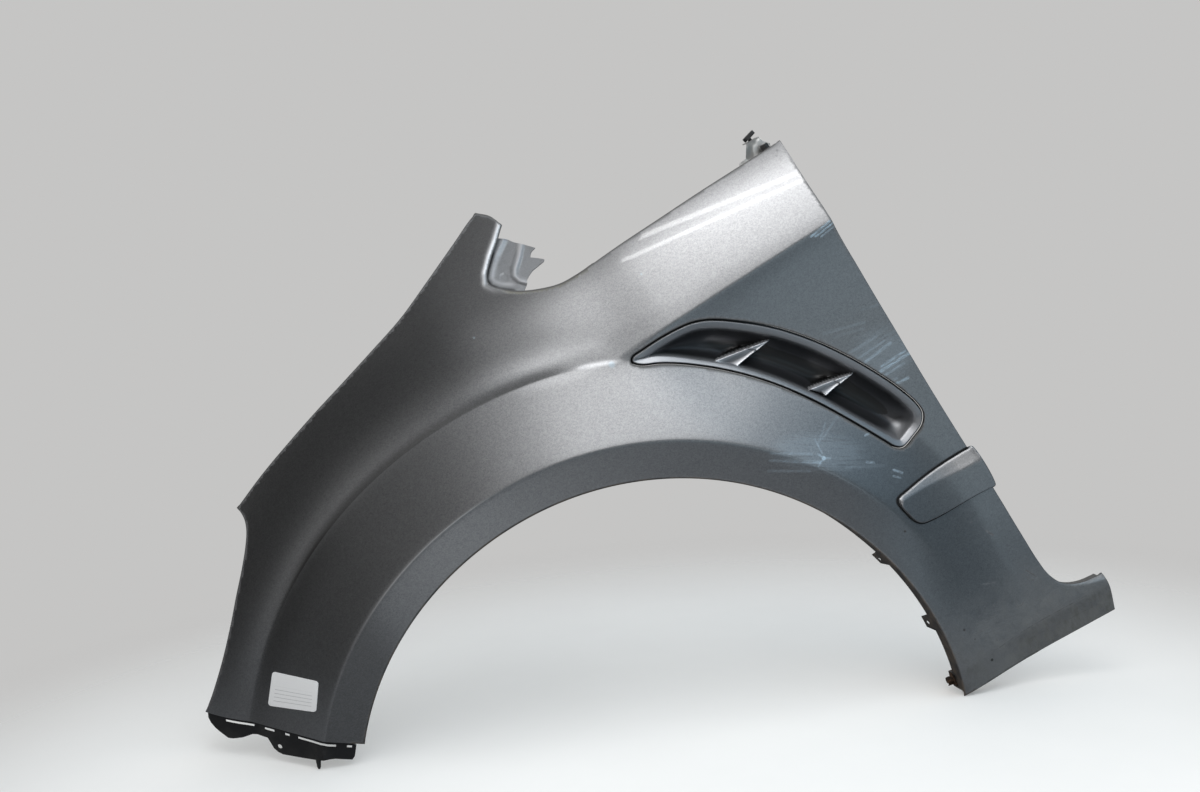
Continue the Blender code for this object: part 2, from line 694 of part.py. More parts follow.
ring_index = [int(np.argmin(np.hypot(flat_v[:, 0] - p[0], flat_v[:, 1] - p[1])))
              for p in frame_loop]
base = len(bulk)
for i in ring_index:
    x, y, z = bulk[i]
    bulk.append((x, y + VENT_SKIRT, z))
for i in range(len(ring_index)):
    j = (i + 1) % len(ring_index)
    skin_faces.append((ring_index[j], ring_index[i], base + i, base + j))
grille = make("vent_grille", bulk, skin_faces, GRILLE)
thicken(grille, VENT_WALL)

# Side moulding: rounded pad over the skin, with two pegs through the panel
mould_line = spline(MOULD_LINE)
mould_loop = counter_clockwise(closed_stations(mould_line, 7.0))


mould_upper = spline(MOULD_LINE[:6])
mould_lower = spline(MOULD_LINE[6:])


def mould_top(x, z):
    p = np.stack([np.atleast_1d(x), np.atleast_1d(z)], 1)
    bevel = np.clip(distance(p, mould_upper, closed=False) / MOULD_CREASE, 0, 1)
    under = np.clip(distance(p, mould_lower, closed=False) / 42.0, 0, 1)
    rim = np.clip(distance(p, mould_lower, closed=False) / 3.0, 0, 1)
    crest = MOULD_PROUD * (0.62 + 0.38 * under) * np.sqrt(1 - (1 - rim) ** 2)
    lift = MOULD_EDGE + (crest - MOULD_EDGE) * np.minimum(bevel, rim)
    return skin(x, z) - MOULD_GAP - np.maximum(lift, MOULD_EDGE)


def mould_back(x, z):
    return skin(x, z) - MOULD_GAP


MOULD_STEP = 9.0
ring3 = offset_loop(mould_loop, 3.0)
crest_x = np.arange(mould_loop[:, 0].min() + 12.0, mould_loop[:, 0].max() - 4.0, MOULD_STEP + 0.5)
crest_z = [float(np.interp(x, mould_upper[::-1, 0], mould_upper[::-1, 1])) - MOULD_CREASE for x in crest_x]
mould_crest = np.stack([crest_x, crest_z], 1)
mould_fill = hex_grid(mould_loop.min(axis=0), mould_loop.max(axis=0), MOULD_STEP)
keep = inside(mould_fill, ring3) & (distance(mould_fill, ring3) > 4.0)
keep &= distance(mould_fill, mould_crest, closed=False) > 3.0
verts_m, faces_m = slab([mould_loop], [np.vstack([ring3, ring3[:1]]), mould_crest],
                        mould_fill[keep], mould_top, mould_back)
moulding = make("side_moulding", verts_m, faces_m, PAINT)
pegs = ([], [])
for x, z in MOULD_PEGS:
    start = float(skin(x, z)) - 2.0
    neck = 2.0 + SHEET + 2.6
    profile = ((0, PEG_RADIUS), (neck, PEG_RADIUS), (neck + 0.7, PEG_RADIUS + 0.9),
               (neck + 2.0, PEG_RADIUS + 0.7), (neck + 7.0, 1.6))
    v, f = turned((x, start, z), (0, 1, 0), profile, 16)
    base = len(pegs[0])
    pegs[0].extend(v)
    pegs[1].extend([tuple(base + i for i in face) for face in f])
boolean(moulding, cutter("moulding_pegs", *pegs), "UNION")

# Bumper bracket: slotted strip under the front bottom edge, with a peg
WALL_SET = 5.0                 # strip set in behind the panel's edge
BRACKET_LOW = [(2, 6), (7, 14), (14, 20), (32, 29), (50, 24), (67, 16), (84, 17), (93, 30),
               (102, 33), (130, 30), (150, 27), (172, 22), (196, 22)]
SLOTS = [(28, 66), (80, 93), (107, 113), (124, 172), (185, 191)]
SLOT_TOP = 4.0
SLOT_LOW = 7.6
STRIP_END = BRACKET_LOW[-1][0]  # the strip's own distances run from 0 to here and fill the edge


def bracket_point(s, t, depth):
    """Point on the strip: s along the edge from the nose, t below it, depth into the car."""
    along_edge = float(np.clip(s / (STRIP_END + 1.0), 0.0025, 0.9975)) * bumper_total
    p = at_lengths(bumper_line, np.array([along_edge]))[0]
    q = at_lengths(bumper_line, np.array([along_edge + 0.4]))[0]
    along = (q - p) / np.linalg.norm(q - p)
    down = np.array([along[1], -along[0]])
    x, z = p + down * t
    y = float(skin(p[0], p[1]))
    return np.array([x, y + WALL_SET + depth + 0.10 * t, z])


def bracket_strip():
    outline = [(float(s), float(t)) for s, t in BRACKET_LOW]
    low = closed_stations(np.array([(3.0, 1.4)] + outline + [(STRIP_END, 1.4)]), 7.0)
    low = counter_clockwise(low)
    slots = []
    for a, b in SLOTS:
        n = max(1, int((b - a) / 9))
        top = [(a + (b - a) * k / n, SLOT_TOP) for k in range(n + 1)]
        under = [(b - (b - a) * k / n, SLOT_LOW) for k in range(n + 1)]
        slots.append(np.array(top + under))
    eye = [(100 + 3.0 * math.cos(k * math.pi / 6), 24 + 3.0 * math.sin(k * math.pi / 6))
           for k in range(12)]
    slots.append(np.array(eye))
    fill = hex_grid(low.min(axis=0) + 4.0, low.max(axis=0), 8.0)
    keep = inside(fill, low) & (distance(fill, low) > 3.0)
    for hole in slots:
        keep &= ~inside(fill, hole) & (distance(fill, hole) > 2.5)
    return triangulate([low] + slots, [], fill[keep])


flat_b, faces_b = bracket_strip()
n = len(flat_b)
strip = [bracket_point(s, t, 0.0) for s, t in flat_b] + [bracket_point(s, t, BRACKET_WALL)
                                                       for s, t in flat_b]
out = [tuple(f[::-1]) for f in faces_b] + [tuple(n + i for i in f) for f in faces_b]
for a, b in open_edges(faces_b):
    out.append((a, b, n + b, n + a))
bracket = make("bumper_bracket", strip, out, BLACK)


def strip_box(s0, s1, t0, t1, d0, d1, steps=1):
    """Closed bar that follows the strip."""
    verts, faces = [], []
    for k in range(steps + 1):
        s = s0 + (s1 - s0) * k / steps
        for t, d in ((t0, d0), (t1, d0), (t1, d1), (t0, d1)):
            verts.append(bracket_point(s, t, d))
    for k in range(steps):
        a = 4 * k
        for j in range(4):
            faces.append((a + j, a + (j + 1) % 4, a + 4 + (j + 1) % 4, a + 4 + j))
    faces.append((3, 2, 1, 0))
    last = 4 * steps
    faces.append((last, last + 1, last + 2, last + 3))
    return verts, faces


shelf = cutter("bracket_shelf", *strip_box(6.0, STRIP_END - 4.0, 1.4, 3.6, 1.0, 24.0, 12))
boolean(bracket, shelf, "UNION")
rib = cutter("bracket_rib", *strip_box(40.0, STRIP_END - 10.0, 11.0, 13.5, 1.0, 9.0, 10))
boolean(bracket, rib, "UNION")
PEG_AT = (149.0, 22.0)
peg_top = bracket_point(PEG_AT[0], PEG_AT[1] - 6, 3.0)
peg_low = bracket_point(PEG_AT[0] + 4, PEG_AT[1] + 16, 3.0)
peg_axis = peg_low - peg_top
peg_len = float(np.linalg.norm(peg_axis))
peg = cutter("bracket_peg", *turned(peg_top, peg_axis, ((0, 3.4), (peg_len * 0.6, 2.9),
                                                     (peg_len * 0.9, 2.2), (peg_len, 1.2)), 12))
boolean(bracket, peg, "UNION")

for number, at in enumerate(HOOKS):
    place, normal = edge_point("bumper", at, between=0.55)
    along = ((0, HOOK_RADIUS), (SHEET + 5.2, HOOK_RADIUS), (SHEET + 5.8, HOOK_RADIUS + 0.8),
             (SHEET + 7.0, HOOK_RADIUS + 0.6), (SHEET + 9.0, 1.4))
    hook = cutter(f"bracket_hook_{number}", *turned(place - normal * 3.2, normal, along, 12))
    boolean(bracket, hook, "UNION")

# Stamped notch bracket: ribbed sheet behind the notch, welded to the panel's flange
NOTCH_PLATE = [(136, 668), (145, 662), (150, 655), (159, 647), (170, 636), (163, 634), (158, 629),
               (164, 625), (172, 619), (170, 617), (152, 614), (145, 611), (140, 608), (135, 602),
               (129, 598), (117, 603), (104, 612), (96, 621), (95, 632), (103, 642), (118, 656)]
NOTCH_SIDE = [(136, 668), (118, 656), (103, 642), (95, 632), (96, 621), (104, 612), (117, 603)]
NOTCH_SET = 15.2               # plate behind the skin at the panel's turned edge
NOTCH_SINK = 6.0               # floor of the plate behind that
RIB_FROM = (150, 655)
RIB_TO = (131, 612)
RIB_HALF = 5.0
RIB_HIGH = 6.5


def notch_depth(x, z):
    p = np.stack([np.atleast_1d(x), np.atleast_1d(z)], 1).astype(float)
    a, b = np.array(RIB_FROM, float), np.array(RIB_TO, float)
    d = distance(p, np.array([a, b]), closed=False)
    rib = RIB_HIGH * (1 - sstep((d - 2.0) / RIB_HALF))
    edge = distance(p, np.array(NOTCH_SIDE, float), closed=False)
    sink = NOTCH_SINK * sstep((edge - 5.0) / 9.0)
    return skin(x, z) + NOTCH_SET + sink - rib * sstep((edge - 5.0) / 9.0)


NOTCH_STEP = 4.6
notch_loop = closed_stations(counter_clockwise(np.array(NOTCH_PLATE, float)), NOTCH_STEP)
notch_fill = hex_grid(notch_loop.min(axis=0), notch_loop.max(axis=0), NOTCH_STEP)
keep = inside(notch_fill, notch_loop) & (distance(notch_fill, notch_loop) > 2.0)
flat_n, faces_n = triangulate([notch_loop], [], notch_fill[keep])
plate = [(x, y, z) for (x, z), y in zip(flat_n, notch_depth(flat_n[:, 0], flat_n[:, 1]))]
notch = make("notch_bracket", plate, faces_n, PAINT)
thicken(notch, 1.0)

# Rear top bracket: folded tab bolted under the glass edge, carrying a plastic retainer
BRACKET_X = 455.0
GLASS_Z = 602.7                # underside of the turned glass edge at the bracket's front end
BRACKET_START = 434.0
LEG_BEHIND = 16.8
TAB_TOP = 627.0
GLASS_SLOPE = 4.0 / 57.0       # rise of the glass edge
bracket_y = float(skin(BRACKET_X, GLASS_Z + 7.0))
leg_y = bracket_y + LEG_BEHIND
slope_u = np.array([1.0, 0.0, GLASS_SLOPE]) / math.hypot(1.0, GLASS_SLOPE)
foot_v, foot_f = prism([(0, bracket_y + 6.5), (44, bracket_y + 6.5), (44, leg_y + 1.0), (0, leg_y + 1.0)],
                       (BRACKET_START, 0.0, GLASS_Z), slope_u, (0, 1, 0), 1.2)
rear_bracket = make("rear_top_bracket", foot_v, foot_f, ZINC)
leg_line = [(434.2, 603.2), (477.8, 606.2), (480.0, 613.0), (473.0, 620.0), (471.0, TAB_TOP - 0.2),
            (454.0, TAB_TOP - 0.2), (445.0, 611.0), (434.2, 609.0)]
leg_v, leg_f = prism([(x, -z) for x, z in leg_line], (0, leg_y, 0), (1, 0, 0), (0, 0, -1), 1.2)
boolean(rear_bracket, cutter("rear_bracket_leg", leg_v, leg_f), "UNION")
top_v, top_f = prism([(454.2, leg_y + 0.2), (470.8, leg_y + 0.2), (470.8, leg_y + 23), (454.2, leg_y + 23)],
                     (0, 0, TAB_TOP - 1.2), (1, 0, 0), (0, 1, 0), 1.2)
boolean(rear_bracket, cutter("rear_bracket_top", top_v, top_f), "UNION")
CLIP_AT = (462.5, leg_y + 12.5)
clip_hole = cutter("rear_bracket_holes", *turned((*CLIP_AT, TAB_TOP - 5), (0, 0, 1), ((0, 2.9), (10, 2.9)), 16))
boolean(rear_bracket, clip_hole, "DIFFERENCE")
bolt_hole = cutter("rear_bracket_bolt_hole", *turned((BOLT_X, BOLT_AT[1], 598), (0, 0, 1),
                                                     ((0, BOLT_RADIUS + FIT), (9, BOLT_RADIUS + FIT)), 16))
boolean(rear_bracket, bolt_hole, "DIFFERENCE")

# Bolt that holds the bracket to the turned glass edge
BOLT_SEAT = 609.2
bolt_v, bolt_f = turned((BOLT_X, BOLT_AT[1], BOLT_SEAT - 12.5), (0, 0, 1),
                        ((0, BOLT_RADIUS - 0.6), (0.8, BOLT_RADIUS), (12.7, BOLT_RADIUS)), 18)
bolt = make("bracket_bolt", bolt_v, bolt_f, STUD)
boolean(bolt, cutter("bolt_washer", *turned((BOLT_X, BOLT_AT[1], BOLT_SEAT), (0, 0, 1),
                                            ((0, 6.2), (1.2, 6.2), (1.6, 5.6)), 24)), "UNION")
boolean(bolt, cutter("bolt_head", *turned((BOLT_X, BOLT_AT[1], BOLT_SEAT + 1.0), (0, 0, 1),
                                          ((0, 5.4), (5.6, 5.4), (6.4, 4.7)), 6)), "UNION")

# Plastic retainer pushed into the tab, its head cocked up to the rear
tilt = math.radians(18.0)
head_u = np.array([math.cos(tilt), 0.0, math.sin(tilt)])
head = [(x, y) for x, y in rounded_rect(17.0, 9.0, 4.2)]
stem_v, stem_f = turned((*CLIP_AT, TAB_TOP - 8.5), (0, 0, 1), ((0, 1.4), (2.0, 2.4), (12.5, 2.5)), 16)
retainer = make("retainer_clip", stem_v, stem_f, BLACK)
head_v, head_f = prism(head, (CLIP_AT[0] + 1.5, CLIP_AT[1], TAB_TOP + 3.3), head_u, (0, 1, 0), 4.6)
boolean(retainer, cutter("retainer_head", head_v, head_f), "UNION")

# Spring nut pushed over the lowest liner tab of the arch
nut_angle = math.radians(ARCH_TABS[2])
radial = np.array([math.cos(nut_angle), 0.0, math.sin(nut_angle)])
tangent = np.array([-math.sin(nut_angle), 0.0, math.cos(nut_angle)])
tab_centre = radial * ARCH_RADIUS
tab_y = float(skin(tab_centre[0], tab_centre[2]))
NUT_HALF = 7.5
NUT_SHEET = 0.9
reach_y = tab_y + ARCH_FLANGE + ARCH_TAB_DEPTH
inner_side = ARCH_RADIUS - 1.4
outer_side = ARCH_RADIUS + SHEET + 1.7
jaw = [(tab_y + 16.0, inner_side), (tab_y + 16.0, inner_side - NUT_SHEET - 1.5), (tab_y + 17.5, inner_side - NUT_SHEET),
       (reach_y + 1.8, inner_side - NUT_SHEET), (reach_y + 1.8, outer_side + NUT_SHEET),
       (tab_y + 22.0, outer_side + NUT_SHEET), (tab_y + 22.0, outer_side), (reach_y + 0.9, outer_side),
       (reach_y + 0.9, inner_side)]
nut_v, nut_f = prism(jaw, -tangent * NUT_HALF, (0, 1, 0), radial, 2 * NUT_HALF)
if np.dot(np.cross((0, 1, 0), radial), tangent) < 0:
    nut_v, nut_f = prism(jaw, tangent * NUT_HALF, (0, 1, 0), radial, 2 * NUT_HALF)
spring_nut = make("arch_spring_nut", nut_v, nut_f, RUSTY)
nut_middle = tab_y + ARCH_FLANGE * 0.3 + (ARCH_FLANGE + ARCH_TAB_DEPTH) * 0.76 * 0.7 + 2.2
barrel = turned(radial * (inner_side - 0.4) + np.array([0, nut_middle, 0]), -radial,
                ((0, 4.4), (7.5, 4.1), (8.2, 3.6)), 14)
boolean(spring_nut, cutter("nut_barrel", *barrel), "UNION")
spike = prism([(0, -NUT_HALF), (7.0, -NUT_HALF), (4.0, -NUT_HALF + 5.0), (0, -NUT_HALF + 6.0)],
              radial * (inner_side - NUT_SHEET) + np.array([0, tab_y + 26.0, 0]) + tangent * 0.0,
              -radial, tangent, 1.2)
boolean(spring_nut, cutter("nut_tongue", *spike), "UNION")
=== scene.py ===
"""Looks of a silver car fender: fine pressed skin, vent grille, side moulding and small brackets."""
import math

import bpy
import numpy as np
from mathutils import Matrix, Vector, geometry


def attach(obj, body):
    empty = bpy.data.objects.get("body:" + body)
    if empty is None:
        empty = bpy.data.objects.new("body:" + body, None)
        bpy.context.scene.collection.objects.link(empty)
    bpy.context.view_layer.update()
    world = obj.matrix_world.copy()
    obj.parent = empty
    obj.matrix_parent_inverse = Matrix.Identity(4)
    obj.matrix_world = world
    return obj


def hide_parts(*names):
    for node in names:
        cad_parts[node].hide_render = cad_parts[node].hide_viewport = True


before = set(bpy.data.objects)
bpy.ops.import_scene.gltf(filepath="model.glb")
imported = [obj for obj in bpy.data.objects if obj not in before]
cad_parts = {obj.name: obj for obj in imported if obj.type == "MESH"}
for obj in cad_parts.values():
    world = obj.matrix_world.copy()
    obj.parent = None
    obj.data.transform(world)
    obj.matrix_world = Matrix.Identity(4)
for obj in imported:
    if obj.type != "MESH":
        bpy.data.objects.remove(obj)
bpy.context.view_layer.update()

# Camera
# A 40 mm lens in front of the panel, a little above it. The panel was leaned nose down, so the
# camera is rolled by the same angle and the part keeps the axes of the car.
azimuth, elevation, roll = math.radians(-3.0), math.radians(9.0), math.radians(28.5)
back = np.array([math.sin(azimuth) * math.cos(elevation),
                 -math.cos(azimuth) * math.cos(elevation), math.sin(elevation)])
level_right = np.array([math.cos(azimuth), math.sin(azimuth), 0.0])
level_up = np.cross(level_right, -back)
view_right = math.cos(roll) * level_right - math.sin(roll) * level_up
view_up = math.sin(roll) * level_right + math.cos(roll) * level_up
camera_at = np.array([-0.4405, -1.5448, 0.7918])
lens = bpy.data.cameras.new("lens")
lens.lens = 40.0
lens.sensor_width = 36.0
camera = bpy.data.objects.new("camera", lens)
turn = Matrix((view_right, view_up, back)).transposed().to_4x4()
camera.matrix_world = Matrix.Translation(Vector(camera_at)) @ turn
bpy.context.scene.collection.objects.link(camera)
bpy.context.scene.camera = camera
# directions of the room that the panel leans in
room_up = np.array([math.sin(roll), 0.0, math.cos(roll)])
room_right = np.array([math.cos(roll), 0.0, -math.sin(roll)])
room_front = np.array([0.0, -1.0, 0.0])

# Fender panel
# One pressing of 0.8 mm steel sheet. The skin is a depth behind each point of the side view, in
# millimetres about the wheel centre, and every edge is rolled over into a turned flange.
ORIGIN = np.array([505.0, 40.0, -93.8])
SHEET = 0.8
ARCH_RADIUS, LIP_RADIUS, FLARE_RADIUS = 372.0, 419.0, 512.0
LIP_FALL, LIP_CURVE = 0.30, 0.0003
SIDE_DEPTH, SIDE_TAPER, NOSE_CURVE, REAR_EDGE, SOFT_WIDTH = 46.0, 0.041, 0.00026, 8.0, 128.0
SHOULDER_X, SHOULDER_Z, SHOULDER_RISE = 215.0, 484.0, 0.0733
CROWN_START, CROWN_END, CROWN_LENGTH = 0.15, 1.15, 110.0
WAIST_DEPTH, WAIST_REACH, WAIST_LOW, WAIST_TUCK = 14.0, 45.0, 110.0, 0.034
SILL_CREASE, SILL_TUCK = -55.0, 0.12
ARCH_REAR, ARCH_FRONT, CORNER = -13.7, 143.0, 6.0
CREASE_SOFT = 2.5              # rounding of the lip crease
VALLEY_SOFT = 6.0              # rounding of the valley at the root of the flare
NOSE_SOFT = 4.5                # the same valley where it tightens towards the nose
SHOULDER_SOFT = 2.6            # rounding of the shoulder crease at the rear
ROLL = 1.4                     # rolled edge between skin and flange
TAB_RAMP = 4.0                 # sloping side of a tab
HOLE_INSET = 8.2               # middle of a tab's hole to its end
ARCH_DRAWN, TAB_DRAWN = 2.6, 5.0   # how far the arch flange and its tabs lean in at the rear
VENT_FLANGE = 5.0              # depth of the opening's edge


def sstep(t):
    t = np.clip(t, 0.0, 1.0)
    return t * t * (3.0 - 2.0 * t)


def above(t, soft):
    """max(t, 0) with a rounded corner."""
    return 0.5 * (t + np.sqrt(t * t + soft * soft))


def crown(h, soft):
    hh = above(h, soft) - above(h - CROWN_LENGTH, soft)
    rise = CROWN_START * hh + (CROWN_END - CROWN_START) * hh * hh / (2 * CROWN_LENGTH)
    return rise + CROWN_END * above(h - CROWN_LENGTH, soft)


def shoulder(x):
    """Height of the shoulder crease."""
    return SHOULDER_Z + (x - SHOULDER_X) * SHOULDER_RISE


def body(x, z):
    """Depth of the pressed form behind a point of the side view."""
    x, z = np.asarray(x, float), np.asarray(z, float)
    r = np.hypot(x, z)
    angle = np.degrees(np.arctan2(z, x))
    rearward = sstep(x / 260.0)
    h = (1 - rearward) * (r - FLARE_RADIUS) + rearward * (z - shoulder(x))
    soft = SHOULDER_SOFT + (VALLEY_SOFT - SHOULDER_SOFT) * (1 - sstep((x - 40.0) / 170.0))
    under = -above(-h, soft)
    waist = WAIST_DEPTH * (1 - np.exp(under / WAIST_REACH)) - WAIST_TUCK * above(-h - WAIST_LOW, 8.0)
    front = np.minimum(x, 0)
    side = SIDE_DEPTH - SIDE_TAPER * x + NOSE_CURVE * front ** 2 + crown(h, soft)
    side = side + rearward * sstep((x - 165.0) / 120.0) * waist
    lip = LIP_CURVE * front ** 2
    valley = VALLEY_SOFT - (VALLEY_SOFT - NOSE_SOFT) * sstep((angle - 118.0) / 20.0)
    straight = above(r - LIP_RADIUS, CREASE_SOFT) - above(r - FLARE_RADIUS, valley)
    straight = straight / (FLARE_RADIUS - LIP_RADIUS)
    flared = lip + (side - lip) * straight + LIP_FALL * above(LIP_RADIUS - r, CREASE_SOFT)
    plain = REAR_EDGE + (side - REAR_EDGE) * sstep((r - ARCH_RADIUS) / SOFT_WIDTH)
    plain = plain + SILL_TUCK * above(SILL_CREASE - z, 4.0)
    rear = sstep((38.0 - angle) / 35.0)
    return (1 - rear) * flared + rear * plain


SPUR_SIDE = np.array([(153.0, 684.0), (149.0, 680.0), (134.0, 666.0), (116.0, 651.0), (101.0, 636.0),
                      (96.0, 626.0), (101.0, 619.0), (112.0, 611.0)])
SPUR_ROUND = 11.0              # broad rolled side of the spur at the windscreen notch
FOOT_TOP = np.array([(531.0, -12.0), (540.0, -22.0), (552.0, -31.0), (568.0, -38.0), (588.0, -43.0)])
FOOT_ROUND = 9.0               # broad rolled top of the foot
NOTCH_FOOT = np.array([(100.0, 620.0), (105.0, 616.0), (112.0, 609.5), (125.0, 602.0), (150.0, 592.0),
                       (172.0, 587.0), (192.0, 587.0)])
NOTCH_ROUND = 5.0              # smaller roll along the bottom of the notch
SEALER_LINE = np.array([(190.0, 587.5), (204.0, 589.5), (216.0, 593.0)])
SEALER_HALF = 3.8              # bead of sealer along the notch and a little beyond


def to_line(x, z, line):
    near = np.full(np.broadcast(x, z).shape, 1e9)
    for a, b in zip(line[:-1], line[1:]):
        t = np.clip(((x - a[0]) * (b - a)[0] + (z - a[1]) * (b - a)[1]) / ((b - a) @ (b - a)), 0, 1)
        near = np.minimum(near, np.hypot(x - a[0] - t * (b - a)[0], z - a[1] - t * (b - a)[1]))
    return near


def to_spur(x, z):
    return to_line(x, z, SPUR_SIDE)


def skin(x, z):
    """Depth of the outer face: the pressed form, with the spur, the foot and the notch rolled over."""
    x, z = np.asarray(x, float), np.asarray(z, float)
    bend = np.clip(1.0 - to_spur(x, z) / SPUR_ROUND, 0, 1)
    foot = np.clip(1.0 - to_line(x, z, FOOT_TOP) / FOOT_ROUND, 0, 1) * sstep((x - 535.0) / 18.0)
    low = np.clip(1.0 - to_line(x, z, NOTCH_FOOT) / NOTCH_ROUND, 0, 1)
    return (body(x, z) + SPUR_ROUND * (1.0 - np.sqrt(1.0 - 0.86 * bend * bend))
            + NOTCH_ROUND * (1.0 - np.sqrt(1.0 - 0.80 * low * low)) * (1.0 - np.clip(2.0 * bend, 0, 1))
            + FOOT_ROUND * (1.0 - np.sqrt(1.0 - 0.7 * foot * foot)))


def slope(x, z, step=0.05):
    gx = (skin(x + step, z) - skin(x - step, z)) / (2 * step)
    gz = (skin(x, z + step) - skin(x, z - step)) / (2 * step)
    return gx, gz


def facing(x, z):
    """Outward normal of the skin."""
    gx, gz = slope(x, z)
    n = np.stack([gx, -np.ones_like(gx), gz], 1)
    return n / np.linalg.norm(n, axis=1)[:, None]


def spline(points, closed=False, dense=24):
    """Centripetal curve through given points, as a dense polyline."""
    p = [np.array(q, float) for q in points]
    n = len(p)
    out = []
    for i in range(n if closed else n - 1):
        b, c = p[i], p[(i + 1) % n]
        a = p[i - 1] if (closed or i > 0) else 2 * b - c
        d = p[(i + 2) % n] if (closed or i + 2 < n) else 2 * c - b
        ta = 0.0
        tb = ta + max(np.linalg.norm(b - a), 1e-6) ** 0.5
        tc = tb + max(np.linalg.norm(c - b), 1e-6) ** 0.5
        td = tc + max(np.linalg.norm(d - c), 1e-6) ** 0.5
        for k in range(dense):
            t = tb + (tc - tb) * k / dense
            ab = a * (tb - t) / (tb - ta) + b * (t - ta) / (tb - ta)
            bc = b * (tc - t) / (tc - tb) + c * (t - tb) / (tc - tb)
            cd = c * (td - t) / (td - tc) + d * (t - tc) / (td - tc)
            abc = ab * (tc - t) / (tc - ta) + bc * (t - ta) / (tc - ta)
            bcd = bc * (td - t) / (td - tb) + cd * (t - tb) / (td - tb)
            out.append(abc * (tc - t) / (tc - tb) + bcd * (t - tb) / (tc - tb))
    if not closed:
        out.append(p[-1])
    return np.array(out)


def lengths(line):
    return np.concatenate([[0.0], np.cumsum(np.linalg.norm(np.diff(line, axis=0), axis=1))])


def at_lengths(line, wanted):
    s = lengths(line)
    return np.stack([np.interp(wanted, s, line[:, k]) for k in range(line.shape[1])], axis=1)


def stations(total, step, tabs, half):
    """Places along an edge, with one at each end of its corners and of its tabs' slopes."""
    fixed = [0.0, CORNER, total - CORNER, total]
    for c in tabs:
        fixed += [c - half - TAB_RAMP, c - half, c + half, c + half + TAB_RAMP]
    fixed = sorted(fixed)
    out = []
    for a, b in zip(fixed, fixed[1:]):
        count = max(1, round((b - a) / step))
        out += [a + (b - a) * k / count for k in range(count)]
    return np.array(out + [total])


def closed_stations(line, step):
    ring = np.vstack([line, line[:1]])
    total = lengths(ring)[-1]
    count = max(8, round(total / step))
    return at_lengths(ring, np.arange(count) * total / count)


def inside(points, polygon):
    x, z = points[:, 0], points[:, 1]
    result = np.zeros(len(points), bool)
    j = len(polygon) - 1
    for i in range(len(polygon)):
        (xi, zi), (xj, zj) = polygon[i], polygon[j]
        crosses = (zi > z) != (zj > z)
        with np.errstate(divide="ignore", invalid="ignore"):
            at = (xj - xi) * (z - zi) / (zj - zi) + xi
        result ^= crosses & (x < at)
        j = i
    return result


def distance(points, line, closed=True):
    ends = np.vstack([line, line[:1]]) if closed else line
    best = np.full(len(points), 1e9)
    for a, b in zip(ends, ends[1:]):
        ab = b - a
        t = np.clip(((points - a) @ ab) / max(ab @ ab, 1e-12), 0, 1)
        best = np.minimum(best, ((points - (a + t[:, None] * ab)) ** 2).sum(1))
    return np.sqrt(best)


def counter_clockwise(loop):
    x, z = loop[:, 0], loop[:, 1]
    area = (x * np.roll(z, -1) - np.roll(x, -1) * z).sum()
    return loop if area > 0 else loop[::-1]


def offset_loop(loop, by):
    """Closed counter-clockwise loop moved inwards."""
    before, after = np.roll(loop, 1, axis=0), np.roll(loop, -1, axis=0)
    t1, t2 = loop - before, after - loop
    n1 = np.stack([-t1[:, 1], t1[:, 0]], 1) / np.linalg.norm(t1, axis=1)[:, None]
    n2 = np.stack([-t2[:, 1], t2[:, 0]], 1) / np.linalg.norm(t2, axis=1)[:, None]
    n = n1 + n2
    n /= np.linalg.norm(n, axis=1)[:, None]
    stretch = 1.0 / np.clip((n * n1).sum(1), 0.7, 1.0)
    return loop + n * (by * stretch)[:, None]


def hex_grid(low, high, step):
    rows = np.arange(low[1], high[1], step * math.sqrt(3) / 2)
    points = []
    for number, z in enumerate(rows):
        x = np.arange(low[0] + (step / 2 if number % 2 else 0.0), high[0], step)
        points.append(np.stack([x, np.full_like(x, z)], 1))
    return np.vstack(points)


def grid_within(loop, step, keep_off):
    """Even grid inside a loop, clear of its line."""
    grid = hex_grid(loop.min(axis=0), loop.max(axis=0), step)
    grid = grid[inside(grid, loop)]
    return grid[distance(grid, loop) > keep_off]


def triangulate(loops, fill):
    """Flat mesh inside the first loop and outside the others, with every loop kept as edges."""
    coords, edges = [], []
    for loop in loops:
        base = len(coords)
        coords += [tuple(p) for p in loop]
        edges += [(base + i, base + (i + 1) % len(loop)) for i in range(len(loop))]
    coords += [tuple(p) for p in fill]
    found = geometry.delaunay_2d_cdt([Vector(c) for c in coords], edges, [], 0, 1e-4)
    verts = np.array([tuple(v) for v in found[0]])
    faces = np.array([f for f in found[2] if len(f) == 3])
    middle = verts[faces].mean(axis=1)
    keep = inside(middle, loops[0])
    for hole in loops[1:]:
        keep &= ~inside(middle, hole)
    faces = faces[keep]
    a, b, c = verts[faces[:, 0]], verts[faces[:, 1]], verts[faces[:, 2]]
    area = (b[:, 0] - a[:, 0]) * (c[:, 1] - a[:, 1]) - (c[:, 0] - a[:, 0]) * (b[:, 1] - a[:, 1])
    faces = np.where((area < 0)[:, None], faces[:, ::-1], faces)
    faces = faces[np.abs(area) > 1e-4]
    used = np.unique(faces)
    renumber = np.full(len(verts), -1)
    renumber[used] = np.arange(len(used))
    return verts[used], renumber[faces]


def arch_line():
    angles = np.radians(np.linspace(ARCH_FRONT, ARCH_REAR, 314))
    return np.stack([ARCH_RADIUS * np.cos(angles), ARCH_RADIUS * np.sin(angles)], 1)


def arch_point(degrees, beyond=0.0):
    a = math.radians(degrees)
    return ((ARCH_RADIUS + beyond) * math.cos(a), (ARCH_RADIUS + beyond) * math.sin(a))


def arch_length(degrees):
    return ARCH_RADIUS * math.radians(ARCH_FRONT - degrees)


